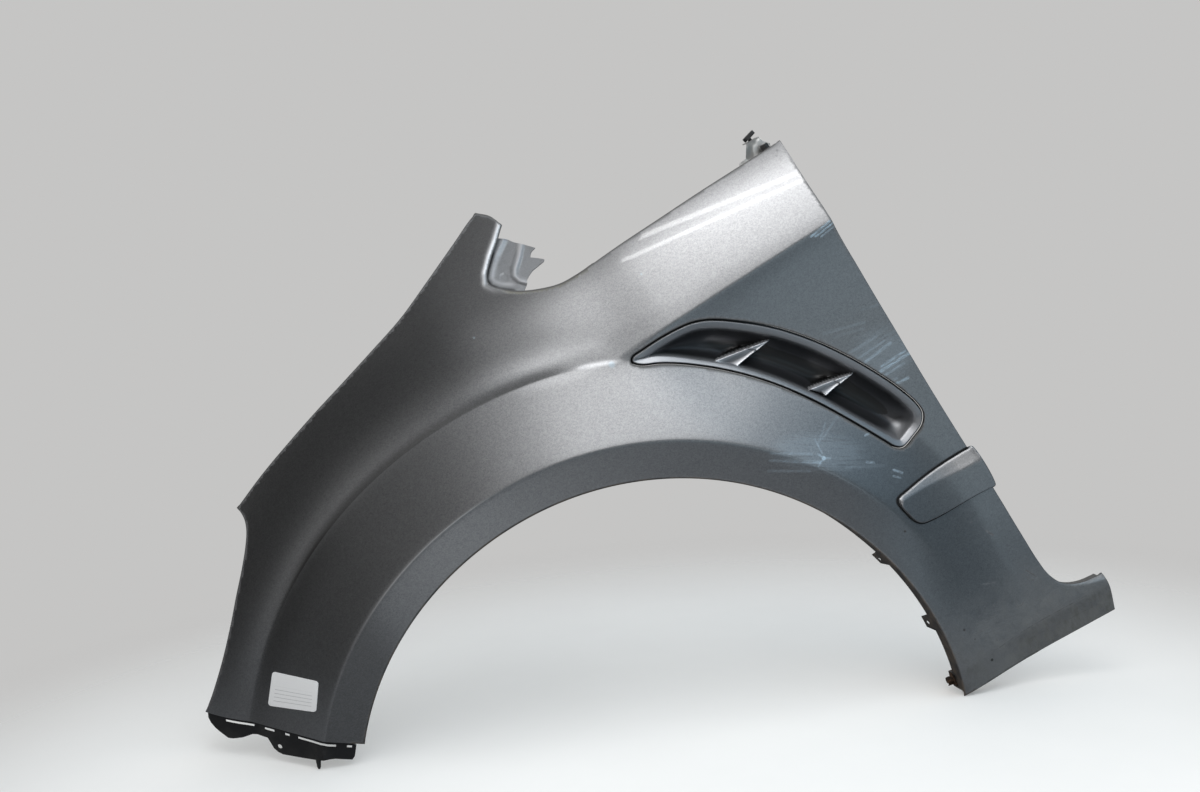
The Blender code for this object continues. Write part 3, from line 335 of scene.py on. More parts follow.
def bowed(start, end, rows):
    """Line from start to end through rows of share along it and shift to its left."""
    start, end = np.array(start, float), np.array(end, float)
    run = end - start
    left = np.array([-run[1], run[0]]) / np.linalg.norm(run)
    return [tuple(start + run * share + left * bow) for share, bow in rows]


NOSE = (-470, 328)
BUMPER_EDGE = bowed(arch_point(ARCH_FRONT, 8.6), NOSE,
                    ((0.0, 0.0), (0.077, -1.6), (0.213, -4.1), (0.486, -3.4), (0.754, -1.8), (1.0, 0.0)))
FRONT_EDGE = [NOSE, (-447, 347), (-412, 380), (-380, 414), (-355, 443), (-333, 468),
              (-315, 491), (-306, 506), (-303, 517), (-304, 526), (-307, 533)]
BONNET_EDGE = [(-307, 533), (-257, 556), (-206, 576), (-162, 592), (-120, 606), (-70, 623),
               (-19, 641), (28, 663), (57, 677), (86, 691), (112, 704), (127, 710)]
SPUR_END = [(127, 710), (141, 698), (149, 680)]
NOTCH_EDGE = [(149, 680), (134, 666), (116, 651), (101, 636), (97, 626), (105, 616), (125, 602),
              (150, 592), (172, 587), (192, 587), (214, 589)]
GLASS_EDGE = [(214, 589), (258, 594), (316, 599), (374, 604), (431, 608), (488, 612)]
DOOR_EDGE = [(488, 612), (482, 559), (483, 502), (489, 436), (495, 357), (501, 268), (508, 184),
             (514, 124), (519, 56), (523, 9), (527, -11), (535, -26), (547, -35), (561, -40),
             (575, -42), (587, -43)]
HEEL_EDGE = [(587, -43), (588, -62), (582, -94)]
SILL_EDGE = [(582, -94), (470, -94), arch_point(ARCH_REAR)]
VENT_LINE = [(196, 470), (204, 461), (226, 451), (251, 436), (293, 404), (332, 366), (367, 322),
             (400, 271), (418, 241), (428, 225), (438, 219), (455, 223), (472, 231), (480, 243),
             (479, 258), (468, 286), (446, 326), (422, 362), (394, 397), (365, 426), (333, 451),
             (303, 470), (280, 478), (244, 480), (215, 478), (200, 476)]
SILL_LENGTH = lengths(np.array(SILL_EDGE, float))[-1]


def turned_edge(line, *rows, tabs=(), half=0.0, extra=0.0, hole=0.0):
    """Edge of the panel: its flange as rows of depth and shift inwards, and its tabs' places, half
    width, extra depth and hole radius."""
    return line, tabs, half, extra, hole, rows


PANEL_EDGES = [
    turned_edge(arch_line(), (6.0, 0.3), (20.0, 0.5),
                tabs=[arch_length(a) for a in (17.5, 1.5, -11.2)], half=8.0, extra=13.0, hole=2.6),
    turned_edge(np.array(SILL_EDGE[::-1], float), (5.0, 0.2), (20.0, 0.2),
                tabs=[SILL_LENGTH * share for share in (0.262, 0.796)], half=14.0, extra=8.0, hole=3.6),
    turned_edge(spline(HEEL_EDGE[::-1]), (9.0, 1.0)),
    turned_edge(spline(DOOR_EDGE[::-1]), (3.0, 1.2), (12.0, 1.6)),
    turned_edge(spline(GLASS_EDGE[::-1]), (4.0, 2.5), (15.0, 3.0)),
    turned_edge(spline(NOTCH_EDGE[::-1]), (6.0, 1.0), (12.0, 1.5)),
    turned_edge(spline(SPUR_END[::-1]), (5.0, 1.0)),
    turned_edge(spline(BONNET_EDGE[::-1]), (5.0, 8.0), (18.0, 7.0),
                tabs=[70.0, 235.0, 400.0], half=13.0, extra=12.0, hole=3.6),
    turned_edge(spline(FRONT_EDGE[::-1]), (3.0, 1.5), (13.0, 2.0)),
    turned_edge(spline(BUMPER_EDGE[::-1]), (4.0, 0.5), (17.0, 0.5)),
]
SKIN_STEP = 4.6
EDGE_STEP = 3.2
FLANGE_STEP, CLEARANCE = 4.5, 1.8

rim_points, rim_edge, rim_at, rim_share = [], [], [], []
for number, (line, tabs, half, _, _, _) in enumerate(PANEL_EDGES):
    total = lengths(line)[-1]
    at = stations(total, EDGE_STEP, tabs, half)
    pts = at_lengths(line, at)
    for k in range(len(at) - 1):
        rim_points.append(pts[k])
        rim_edge.append(number if CORNER - 0.01 <= at[k] <= total - CORNER + 0.01 else -1)
        rim_at.append(at[k])
        shares = [float(np.clip((half + TAB_RAMP - abs(at[k] - c)) / TAB_RAMP, 0, 1)) for c in tabs]
        rim_share.append(max(shares + [0.0]))
outline = np.array(rim_points)
skin_loop = offset_loop(outline, ROLL)
vent_loop = closed_stations(counter_clockwise(spline(VENT_LINE, closed=True)), EDGE_STEP)
vent_skin = offset_loop(vent_loop, -ROLL * 0.7)

# points of the skin: rings about the wheel centre, dense at the lip crease and the flare's root, rows
# along the shoulder crease, an even grid beyond them, and fine grids where the sides are rolled over
MEAN_RADIUS, RINGS_END = 460.0, 546.0
RIDGE_FROM, RIDGE_TO, RIDGE_BAND = 222.0, 488.0, 14.0
RIDGE_ROWS = (-14.0, -9.5, -5.5, -2.8, -1.2, 0.0, 1.2, 2.8, 5.5, 9.5, 14.0)
arc = np.arange(math.radians(ARCH_REAR - 9), math.radians(ARCH_FRONT + 15), SKIN_STEP / MEAN_RADIUS)
radii = np.concatenate([np.arange(376.0, 414.0, SKIN_STEP * 0.9),
                        LIP_RADIUS + np.array([-4.5, -2.4, -1.0, 0.0, 1.0, 2.4, 4.5]),
                        np.arange(428.0, 499.0, SKIN_STEP * 0.9),
                        FLARE_RADIUS + np.array([-9.5, -6.5, -4.0, -2.2, -0.8, 0.8]),
                        FLARE_RADIUS + np.array([2.2, 4.0, 6.0, 8.5, 11.5]),
                        np.arange(527.5, 548.0, SKIN_STEP * 0.9)])
rings = np.vstack([np.stack([q * np.cos(arc), q * np.sin(arc)], 1) for q in radii])
ridge_x = np.arange(RIDGE_FROM + 3.0, RIDGE_TO - 4.0, SKIN_STEP)
ridges = [np.stack([ridge_x, shoulder(ridge_x) + shift], 1) for shift in RIDGE_ROWS]
grid = hex_grid((-480.0, -100.0), (600.0, 720.0), SKIN_STEP)
grid = grid[np.hypot(grid[:, 0], grid[:, 1]) > RINGS_END + SKIN_STEP * 0.7]
fine = np.vstack([hex_grid((85.0, 605.0), (150.0, 700.0), 2.2), hex_grid((525.0, -70.0), (595.0, 0.0), 2.2),
                  hex_grid((113.0, 570.0), (205.0, 604.5), 2.0)])


def off_ridges(p):
    """Points that lie clear of the rows along the shoulder crease."""
    beside = np.abs(p[:, 1] - shoulder(p[:, 0])) < RIDGE_BAND + SKIN_STEP * 0.6
    return p[~(beside & (p[:, 0] > RIDGE_FROM) & (p[:, 0] < RIDGE_TO))]


def rolled_zone(p, within):
    return ((to_spur(p[:, 0], p[:, 1]) < within) | (to_line(p[:, 0], p[:, 1], FOOT_TOP) < within)
            | (to_line(p[:, 0], p[:, 1], NOTCH_FOOT) < within * 0.55))


coarse = np.vstack([off_ridges(rings)] + ridges + [off_ridges(grid)])
fill = np.vstack([coarse[~rolled_zone(coarse, 14.0)], fine[rolled_zone(fine, 13.0)]])
fill = fill[inside(fill, skin_loop) & ~inside(fill, vent_skin)]
for line in (skin_loop, vent_skin):
    fill = fill[distance(fill, line) > EDGE_STEP * 0.55]
flat, skin_faces = triangulate([skin_loop, vent_skin], fill)
fx, fz = flat[:, 0], flat[:, 1]
skin_count = len(flat)
points = [np.stack([fx, skin(fx, fz), fz], 1)]
faces = [skin_faces]


def add_points(rows):
    start = sum(len(p) for p in points)
    points.append(np.array(rows, float))
    return start


def nearest(p):
    return int(np.argmin((fx - p[0]) ** 2 + (fz - p[1]) ** 2))


def strip(ring_a, ring_b, links):
    """Faces between two rings of vertex numbers, for each pair of neighbours in links."""
    rows = []
    for i, j in links:
        rows.append((ring_b[i], ring_a[i], ring_a[j]))
        rows.append((ring_b[i], ring_a[j], ring_b[j]))
    faces.append(np.array(rows))


def roll_over(loop, edge_points, heading, steps=4):
    """Rounded bend from the skin's boundary loop towards each heading; returns its last ring and the
    sharp corner that it rounds off."""
    base = np.stack([loop[:, 0], skin(loop[:, 0], loop[:, 1]), loop[:, 1]], 1)
    gx, gz = slope(loop[:, 0], loop[:, 1])
    out2 = edge_points - loop
    rise = gx * out2[:, 0] + gz * out2[:, 1]
    corner = base + np.stack([out2[:, 0], rise, out2[:, 1]], 1)
    reach = np.linalg.norm(out2, axis=1)[:, None]
    ring = [nearest(p) for p in loop]
    count = len(loop)
    links = [(i, (i + 1) % count) for i in range(count)]
    for k in range(1, steps + 1):
        u = k / steps
        row = (1 - u) ** 2 * base + 2 * u * (1 - u) * corner + u * u * (corner + heading * reach)
        start = add_points(row)
        new = list(range(start, start + count))
        strip(new, ring, links)
        ring = new
    return ring, corner


rim_count = len(outline)
before, after = np.roll(outline, 1, axis=0), np.roll(outline, -1, axis=0)
along = (after - before) / np.linalg.norm(after - before, axis=1)[:, None]
into = np.stack([-along[:, 1], along[:, 0]], 1)


def step_in(i, depth, shift):
    """Step from a point of the rim: backwards by depth and inwards by shift."""
    return np.array([into[i, 0] * shift, depth, into[i, 1] * shift])


heading = np.tile([0.0, 1.0, 0.0], (rim_count, 1))
for i in range(rim_count):
    if rim_edge[i] >= 0:
        h = step_in(i, *PANEL_EDGES[rim_edge[i]][5][0])
        heading[i] = h / np.linalg.norm(h)
last_ring, corner = roll_over(skin_loop, outline, heading)


def flange(number):
    """Turned flange of one edge, with its tabs and their holes."""
    _, tabs, _, extra, hole, rows = PANEL_EDGES[number]
    own = [i for i in range(rim_count) if rim_edge[i] == number]
    s = np.array([rim_at[i] for i in own])
    base_ring = [last_ring[i] for i in own]
    base = np.vstack(points)[base_ring]
    if len(rows) > 1:
        base = np.array([corner[i] + step_in(i, *rows[0]) for i in own])
        start = add_points(base)
        ring = list(range(start, start + len(own)))
        strip(ring, base_ring, [(i, i + 1) for i in range(len(own) - 1)])
        base_ring = ring
    depth, shift = rows[-1]
    drawn_in = np.zeros(rim_count)
    if number == 0:
        rear_half = sstep((42.0 - np.degrees(np.arctan2(outline[:, 1], outline[:, 0]))) / 22.0)
        drawn_in = rear_half * (ARCH_DRAWN + TAB_DRAWN * np.array(rim_share) * (outline[:, 1] > -30.0))
    tip = np.array([corner[i] + step_in(i, depth + extra * rim_share[i], shift - drawn_in[i]) for i in own])
    reach = np.linalg.norm(tip - base, axis=1)
    aim = (tip - base) / reach[:, None]
    low = np.stack([s, np.zeros_like(s)], 1)
    high = np.stack([s, reach], 1)
    loop = counter_clockwise(np.vstack([low, high[::-1]]))
    loops = [loop]
    circle = np.linspace(0, 2 * math.pi, 20, False)
    for c in tabs:
        middle = float(np.interp(c, s, reach)) - HOLE_INSET
        loops.append(np.array([(c + hole * math.cos(a), middle + hole * math.sin(a)) for a in circle]))
    grid = hex_grid((s[0], 0.0), (s[-1], reach.max()), FLANGE_STEP)
    grid = grid[inside(grid, loop)]
    for ring in loops:
        if len(grid):
            grid = grid[distance(grid, ring) > CLEARANCE]
    for ring in loops[1:]:
        if len(grid):
            grid = grid[~inside(grid, ring)]
    patch, patch_faces = triangulate(loops, grid)
    origin = np.stack([np.interp(patch[:, 0], s, base[:, k]) for k in range(3)], 1)
    way = np.stack([np.interp(patch[:, 0], s, aim[:, k]) for k in range(3)], 1)
    start = add_points(origin + way * patch[:, 1:2])
    number_of = np.arange(start, start + len(patch))
    for k in np.flatnonzero(np.abs(patch[:, 1]) < 1e-3):
        near = int(np.argmin(np.abs(s - patch[k, 0])))
        if abs(s[near] - patch[k, 0]) < 1e-2:
            number_of[k] = base_ring[near]
    faces.append(number_of[patch_faces][:, ::-1])


for number in range(len(PANEL_EDGES)):
    flange(number)
vent_heading = np.tile([0.0, 1.0, 0.0], (len(vent_loop), 1))
ring, vent_corner = roll_over(vent_skin[::-1], vent_loop[::-1], vent_heading, 3)
start = add_points(vent_corner + np.array([0.0, VENT_FLANGE, 0.0]))
strip(list(range(start, start + len(ring))), ring, [(i, (i + 1) % len(ring)) for i in range(len(ring))])


def vertex_normals(verts, tris):
    cross = np.cross(verts[tris[:, 1]] - verts[tris[:, 0]], verts[tris[:, 2]] - verts[tris[:, 0]])
    total = np.zeros_like(verts)
    for k in range(3):
        np.add.at(total, tris[:, k], cross)
    size = np.linalg.norm(total, axis=1)[:, None]
    return total / np.where(size > 1e-12, size, 1.0)


def open_edges(tris):
    """Directed edges that only one face uses."""
    ends = np.concatenate([tris[:, [0, 1]], tris[:, [1, 2]], tris[:, [2, 0]]])
    big = int(tris.max()) + 1
    key = ends[:, 0] * big + ends[:, 1]
    other = ends[:, 1] * big + ends[:, 0]
    return ends[~np.isin(key, other)]


def sheet(name, front, rear, tris, normals, rear_normals, materials):
    """Closed piece of two matching faces and the strip round them, with its own normals, so that the
    reflections run clean. The last material goes on the rear face and the strip."""
    count = len(front)
    rim = open_edges(tris)
    a, b = rim[:, 0], rim[:, 1]
    sides = np.concatenate([np.stack([b, a, a + count], 1), np.stack([b, a + count, b + count], 1)])
    everything = np.concatenate([tris, tris[:, ::-1] + count, sides])
    place = (np.vstack([front, rear]) - ORIGIN) * 0.001
    mesh = bpy.data.meshes.new(name)
    mesh.from_pydata(place.tolist(), [], everything.tolist())
    corner_normals = np.vstack([normals, rear_normals])[everything]
    side_from = 2 * len(tris)
    p = place[everything[side_from:]]
    flat_n = np.cross(p[:, 1] - p[:, 0], p[:, 2] - p[:, 0])
    flat_n /= np.maximum(np.linalg.norm(flat_n, axis=1), 1e-12)[:, None]
    corner_normals[side_from:] = flat_n[:, None, :]
    mesh.polygons.foreach_set("use_smooth", np.ones(len(everything), bool))
    for material in materials:
        mesh.materials.append(material)
    slots = np.zeros(len(everything), np.int32)
    slots[len(tris):] = len(materials) - 1
    mesh.polygons.foreach_set("material_index", slots)
    mesh.normals_split_custom_set(corner_normals.reshape(-1, 3).tolist())
    mesh.update()
    obj = bpy.data.objects.new(name, mesh)
    bpy.context.scene.collection.objects.link(obj)
    return obj


def shell(name, verts, tris, normals, wall, front, inner):
    """Sheet of one thickness behind its outer face."""
    return sheet(name, verts, verts - normals * wall, tris, normals, -normals, (front, inner))


def store(obj, name, *values):
    """Number at each vertex that the finish reads by name, front face first."""
    layer = obj.data.attributes.new(name, "FLOAT", "POINT")
    layer.data.foreach_set("value", np.concatenate(values).astype(np.float32))


def bell(off, width, power=2):
    """1 where off is 0, fading out over about twice the width."""
    return np.exp(-np.abs(off / width) ** power)


panel_points = np.vstack(points)
panel_faces = np.vstack(faces)
used = np.unique(panel_faces)
renumber = np.full(len(panel_points), -1)
renumber[used] = np.arange(len(used))
panel_normals = vertex_normals(panel_points, panel_faces)
# the skin's normals lean by these shares where the light is sharper or softer than on the plain form
SADDLE_LEAN, CREST_LEAN, TIP_GLINT, ROOT_SHADE, ROOT_LIGHT = 0.19, 0.11, 0.52, 0.20, 0.05
VENT_LIGHT, LIP_LIGHT, WAIST_LIGHT, NOSE_LEAN = 0.06, 0.12, 0.07, -0.035
fr = np.hypot(fx, fz)
degrees = np.degrees(np.arctan2(fz, fx))
off_root, off_lip, off_ridge = fr - FLARE_RADIUS, fr - LIP_RADIUS, fz - shoulder(fx)
off_spur, off_foot = to_spur(fx, fz), to_line(fx, fz, FOOT_TOP)
rearmost = sstep((fx - 205.0) / 90.0)
along_lip = bell(degrees - 107.0, 13.0, 4)
saddle = SADDLE_LEAN * sstep((200.0 - fx) / 120.0) * sstep((fr - 515.0) / 50.0)
saddle = saddle * (1.0 - 0.6 * sstep((-20.0 - fx) / 200.0)) * sstep(off_spur / 12.0)
crest = CREST_LEAN * rearmost * sstep((off_ridge + 0.5) / 3.0) * (1.0 - sstep(off_ridge / 62.0))
# a glint by the vent's tip, a dark fold just above the flare's root and soft light above the fold
glint = TIP_GLINT * bell(off_root - 1.0, 2.2) * bell(fx - 161.0, 21.0, 4)
folded = ROOT_SHADE * (1.0 - sstep((off_root - 1.0) / 14.0)) * sstep((off_root + 0.8) / 1.2)
folded = folded * sstep((150.0 - fx) / 60.0) * sstep((fx + 300.0) / 120.0)
soft_light = ROOT_LIGHT * bell(off_root - 20.0, 10.0)
soft_light = soft_light * sstep((fx + 120.0) / 240.0) * sstep((196.0 - fx) / 30.0)
# light round the vent's tip, on the lip's crease, below the shoulder and on the nose
by_vent = VENT_LIGHT * sstep((340.0 - fx) / 90.0) * sstep((fx - 140.0) / 50.0)
by_vent = by_vent * (1.0 - sstep(np.abs(off_ridge + 2.0) / 46.0)) * sstep((off_root + 2.0) / 6.0)
on_lip = LIP_LIGHT * bell(off_lip, 1.3) * along_lip
below_ridge = WAIST_LIGHT * rearmost * sstep(-off_ridge / 4.0) * (1.0 - sstep(-off_ridge / 75.0))
on_nose = NOSE_LEAN * sstep((degrees - 112.0) / 20.0) * sstep((off_root - 1.0) / 4.0)
on_nose = on_nose * (1.0 - sstep(off_root / 130.0))
clean = facing(fx, fz) - room_right * saddle[:, None]
clean[:, 2] += crest
clean += room_up * (glint - folded + soft_light + by_vent + on_lip + below_ridge)[:, None]
clean += np.stack([fx, np.zeros(skin_count), fz], 1) * (on_nose / fr)[:, None]
panel_normals[:skin_count] = clean / np.linalg.norm(clean, axis=1)[:, None]
turned_over = (np.arange(len(panel_points)) >= skin_count).astype(np.float32)
turned_over[[nearest(p) for p in np.vstack([skin_loop, vent_skin])]] = 0.8
turned_over = turned_over[used]
# painted highlights along folds: the start of the foot's and the spur's rolled sides, and the lip's crease
painted_fold_light = bell(off_foot - 6.5, 1.8) * sstep((fx - 528.0) / 10.0)
painted_fold_light = np.maximum(painted_fold_light, 0.85 * bell(off_spur - 4.5, 2.2) * sstep((fz - 604.0) / 20.0))
painted_fold_light = np.maximum(painted_fold_light, 0.95 * bell(off_lip, 0.8) * along_lip)
off_sealer = np.minimum(to_line(fx, fz, NOTCH_FOOT), to_line(fx, fz, SEALER_LINE))
sealer = 1.0 - sstep((off_sealer - SEALER_HALF) / 0.8)
sealer = sealer * sstep((fx - 104.0) / 8.0) * sstep((216.0 - fx) / 1.5)
off_skin = np.zeros(len(panel_points) - skin_count)
painted_fold_light, sealer = [np.concatenate([v, off_skin])[used] for v in (painted_fold_light, sealer)]
panel_points, panel_normals, panel_faces = panel_points[used], panel_normals[used], renumber[panel_faces]


def operator(operation, swap=False):
    """Method that adds one Math node; swap puts the other value first."""
    return lambda self, other: self.math(operation, other, swap=swap)


class Shade:
    """A socket of one material; sums and products on it add Math nodes."""

    def __init__(self, tree, socket):
        self.tree, self.socket = tree, socket

    def math(self, operation, *others, clamp=False, swap=False):
        node = self.tree.nodes.new("ShaderNodeMath")
        node.operation = operation
        node.use_clamp = clamp
        values = (others[0], self) if swap else (self,) + others
        for entry, value in zip(node.inputs, values):
            join(self.tree, entry, value)
        return Shade(self.tree, node.outputs[0])

    __add__ = __radd__ = operator("ADD")
    __sub__, __rsub__ = operator("SUBTRACT"), operator("SUBTRACT", swap=True)
    __mul__ = __rmul__ = operator("MULTIPLY")
    __truediv__, __pow__ = operator("DIVIDE"), operator("POWER")
    most, least = operator("MAXIMUM"), operator("MINIMUM")

    def __abs__(self):
        return self.math("ABSOLUTE")

    def clip(self):
        return self.math("ADD", 0.0, clamp=True)

    def output(self, number):
        """Another output of the same node."""
        return Shade(self.tree, self.socket.node.outputs[number])

    def ramp(self, low, high):
        """0 below low, 1 above high, smooth between; low may be above high."""
        node = self.tree.nodes.new("ShaderNodeMapRange")
        node.interpolation_type = "SMOOTHSTEP"
        swap = low > high
        join(self.tree, node.inputs["Value"], self)
        node.inputs["From Min"].default_value = high if swap else low
        node.inputs["From Max"].default_value = low if swap else high
        node.inputs["To Min"].default_value = 1.0 if swap else 0.0
        node.inputs["To Max"].default_value = 0.0 if swap else 1.0
        return Shade(self.tree, node.outputs[0])


def join(tree, entry, value):
    """Links or sets one input of a node; a single number fills a colour or vector."""
    if isinstance(value, Shade):
        tree.links.new(value.socket, entry)
    elif hasattr(entry.default_value, "__len__") and not hasattr(value, "__len__"):
        entry.default_value = (value,) * len(entry.default_value)
    elif hasattr(value, "__len__") and len(entry.default_value) == 4 and len(value) == 3:
        entry.default_value = (*value, 1.0)
    else:
        entry.default_value = value


class Finish:
    """One material, made with expressions."""

    def __init__(self, name):
        self.material = bpy.data.materials.new(name)
        self.material.use_nodes = True
        self.tree = self.material.node_tree
        self.shader = self.tree.nodes["Principled BSDF"]
        self.place = self.node("ShaderNodeTexCoord", out="Object")

    def node(self, kind, settings=(), out=0, **inputs):
        """One node; its inputs go by name, or by i and a number."""
        node = self.tree.nodes.new(kind)
        for key, value in dict(settings).items():
            setattr(node, key, value)
        for key, value in inputs.items():
            entry = int(key[1:]) if key[0] == "i" and key[1:].isdigit() else key.replace("_", " ")
            join(self.tree, node.inputs[entry], value)
        return Shade(self.tree, node.outputs[out])

    def side_view(self):
        """Side view coordinates in millimetres about the wheel centre."""
        split = self.node("ShaderNodeSeparateXYZ", Vector=self.place)
        return split * 1000.0 + 505.0, split.output(2) * 1000.0 - 93.8

    def stored(self, name):
        return self.node("ShaderNodeAttribute", {"attribute_name": name}, out="Fac")

    def noise(self, scale, detail, rough, at=None):
        return self.node("ShaderNodeTexNoise", Vector=at or self.place, Scale=scale, Detail=detail,
                         Roughness=rough)

    def flakes(self, scale):
        """An even random number for each cell of a fine pattern."""
        cells = self.node("ShaderNodeTexVoronoi", out="Color", Vector=self.place, Scale=scale)
        return self.node("ShaderNodeSeparateColor", Color=cells)

    def mix(self, share, a, b):
        return self.node("ShaderNodeMix", {"data_type": "RGBA"}, out=2, i0=share, i6=a, i7=b)

    def vector(self, x, y, z):
        return self.node("ShaderNodeCombineXYZ", X=x, Y=y, Z=z)

    def bump(self, height, strength, reach):
        return self.node("ShaderNodeBump", Height=height, Strength=strength, Distance=reach)

    def set(self, **inputs):
        for key, value in inputs.items():
            join(self.tree, self.shader.inputs[key.replace("_", " ")], value)
        return self.material


def smear(f, x, z, at, size, degrees, grain, cut, seed):
    """Soft patch of fine parallel streaks: centre, half length and half width, and its heading."""
    c, s = math.cos(math.radians(degrees)), math.sin(math.radians(degrees))
    along = (x - at[0]) * c + (z - at[1]) * s
    across = (z - at[1]) * c - (x - at[0]) * s
    patch = (1.0 - ((along / size[0]) ** 2.0 + (across / size[1]) ** 2.0)).clip()
    ragged = f.noise(1.0, 3.0, 0.6, at=f.vector(along * 0.025, across * grain, seed))
    return (patch * 1.6).least(1.0) * (ragged + patch * 0.12).ramp(cut, cut + 0.12)


def stroke(x, z, start, end, width, soft):
    """Straight scratch from one point to another."""
    dx, dz = end[0] - start[0], end[1] - start[1]
    size = math.hypot(dx, dz)
    dx, dz = dx / size, dz / size
    along = (x - start[0]) * dx + (z - start[1]) * dz
    off = along - along.most(0.0).least(size)
    across = (x - start[0]) * -dz + (z - start[1]) * dx
    return ((off * off + across * across) ** 0.5).ramp(width + soft, width * 0.4)


def spot(x, z, at, radius, soft):
    return (((x - at[0]) ** 2.0 + (z - at[1]) ** 2.0) ** 0.5).ramp(radius + soft, radius)


def metallic_paint(name, dark, light):
    """Aluminium flakes between two tones, under a clear coat: the finish and its base colour."""
    f = Finish(name)
    sparkle = (f.flakes(1100.0) - 0.5) * 0.30 + (f.flakes(520.0) - 0.5) * 0.16
    sparkle = sparkle + (f.noise(700.0, 2.0, 0.6) - 0.5) * 0.25
    return f, f.mix((sparkle + 0.5).clip(), dark, light)


SILVER_DARK, SILVER_LIGHT = (0.205, 0.208, 0.214), (0.505, 0.508, 0.520)
f, colour = metallic_paint("silver_paint", SILVER_DARK, SILVER_LIGHT)
x, z = f.side_view()
radius = (x * x + z * z) ** 0.5
turned, sealer_mask, fold_light_mask = f.stored("turned"), f.stored("sealer"), f.stored("fold")
cloud = f.noise(6.0, 4.0, 0.6)
grit = f.noise(60.0, 5.0, 0.65)
# pale scratches, end points in the side view, half width and strength
ragged = f.noise(1.0, 4.0, 0.7, at=f.vector(x * 0.10, z * 0.45, 3.0)).ramp(0.38, 0.60)
SCRATCHES = [
    ((452, 499), (480, 504.5), 0.9, 0.75), ((457, 496.3), (483, 501), 0.8, 0.8),
    ((463, 493), (484, 497), 0.7, 0.5), ((416, 388), (466, 376), 1.6, 0.16),
    ((424, 378), (462, 370), 1.0, 0.12), ((470, 391), (489, 387), 1.2, 0.14),
    ((426, 340), (476, 345), 1.6, 0.20), ((445, 333), (482, 339), 1.8, 0.34),
    ((432, 352), (470, 354), 1.4, 0.14), ((456, 314), (497, 317), 1.7, 0.60),
    ((460, 319), (494, 322), 1.1, 0.45), ((452, 307), (486, 309), 1.2, 0.30),
    ((463, 292), (482, 291), 1.6, 0.55), ((458, 298), (470, 297), 1.0, 0.30),
    ((283, 294), (334, 263), 1.5, 0.34), ((287, 302), (330, 276), 1.2, 0.20),
    ((276, 283), (318, 260), 1.6, 0.24), ((341, 264), (337, 272), 0.6, 0.45),
    ((342, 270), (343, 288), 0.4, 0.26), ((341, 264), (330, 260), 0.6, 0.32),
    ((341, 264), (348, 260), 0.6, 0.42), ((343, 280), (365, 296), 0.8, 0.18),
    ((352, 283), (392, 298), 0.8, 0.18), ((401, 258), (411, 257), 0.9, 0.50),
    ((386, 231), (394, 226), 1.3, 0.40), ((412, 205), (420, 196), 1.2, 0.45),
    ((408, 199), (415, 192), 0.8, 0.35), ((360, 240), (404, 216), 1.8, 0.12),
]
marks = 0.0
for start, end, width, strength in SCRATCHES:
    marks = stroke(x, z, start, end, width, 1.3) * strength + marks
marks = marks * (0.45 + 0.95 * ragged)
# soft streaky rub marks between them
rub = smear(f, x, z, (462.0, 330.0), (52.0, 40.0), 5.0, 0.5, 0.44, 1.0) * 0.20
rub = rub + smear(f, x, z, (340.0, 272.0), (70.0, 26.0), -33.0, 0.5, 0.44, 2.0) * 0.20
star = spot(x, z, (341.0, 264.0), 1.3, 1.8)
chips = spot(x, z, (259.0, 553.0), 0.8, 0.8) * 0.4
chips = chips + spot(x, z, (49.0, 581.0), 0.9, 1.0) * 0.4 + spot(x, z, (175.0, 479.0), 1.8, 3.5) * 0.4
pale = (marks + rub + star + chips).clip()
# dark rub marks, written like the scratches, and pits with their radius and strength
DARK_MARKS = [
    ((482, 77), (487, 68), 0.9, 0.7), ((504, 8), (511, -5), 0.6, 0.9),
    ((500, 2), (506, -8), 0.4, 0.4), ((429, -58), (556, -58), 0.4, 0.55),
    ((470, -72), (560, -76), 0.3, 0.25), ((447, 22), (462, 15), 0.5, 0.25),
]
DARK_PITS = [
    ((398, -12), 1.1, 0.9), ((413, -66), 1.4, 1.0), ((388, 135), 1.0, 0.9), ((405, -30), 0.7, 0.7),
    ((447, -8), 0.6, 0.6), ((494, 494), 0.7, 0.6), ((477, 603), 1.0, 0.30), ((472, 598), 0.6, 0.25),
    ((430, -48), 0.6, 0.5), ((470, 96), 0.6, 0.4),
]
dark = 0.0
for start, end, width, strength in DARK_MARKS:
    dark = stroke(x, z, start, end, width, 1.0) * strength + dark
dark = dark * (0.35 + 0.65 * grit.ramp(0.38, 0.6))
for at, size, strength in DARK_PITS:
    dark = spot(x, z, at, size, 1.0) * strength + dark
ring_mark = abs(((x - 478.0) ** 2.0 + (z + 23.0) ** 2.0) ** 0.5 - 5.0).ramp(1.3, 0.3) * grit.ramp(0.4, 0.6)
low_rub = smear(f, x, z, (440.0, -28.0), (46.0, 20.0), -16.0, 0.5, 0.55, 11.0)
dark = (dark + ring_mark * 0.45 + low_rub * 0.2).clip()
# road film on the sill end
film = z.ramp(50.0, -90.0) * x.ramp(330.0, 400.0) * (0.35 + 0.65 * grit.ramp(0.3, 0.7))
film = (film + stroke(x, z, (440.0, -76.0), (585.0, -82.0), 6.0, 12.0) * grit.ramp(0.40, 0.66) * 0.8).clip()
# shade along the flare's root and in the hollow of the nose
groove = radius.ramp(525.0, 513.0) * radius.ramp(510.0, 511.6) * x.ramp(150.0, 80.0)
groove = groove * x.ramp(-350.0, -230.0) * (0.34 + x.ramp(40.0, -160.0) * 0.30)
groove = groove + radius.ramp(516.0, 512.0) * radius.ramp(470.0, 508.0) * x.ramp(-160.0, -260.0) * 0.30
hollow = (((x + 395.0) ** 2.0 * 0.5 + (z - 250.0) ** 2.0 * 0.12) ** 0.5).ramp(46.0, 8.0) * 0.5
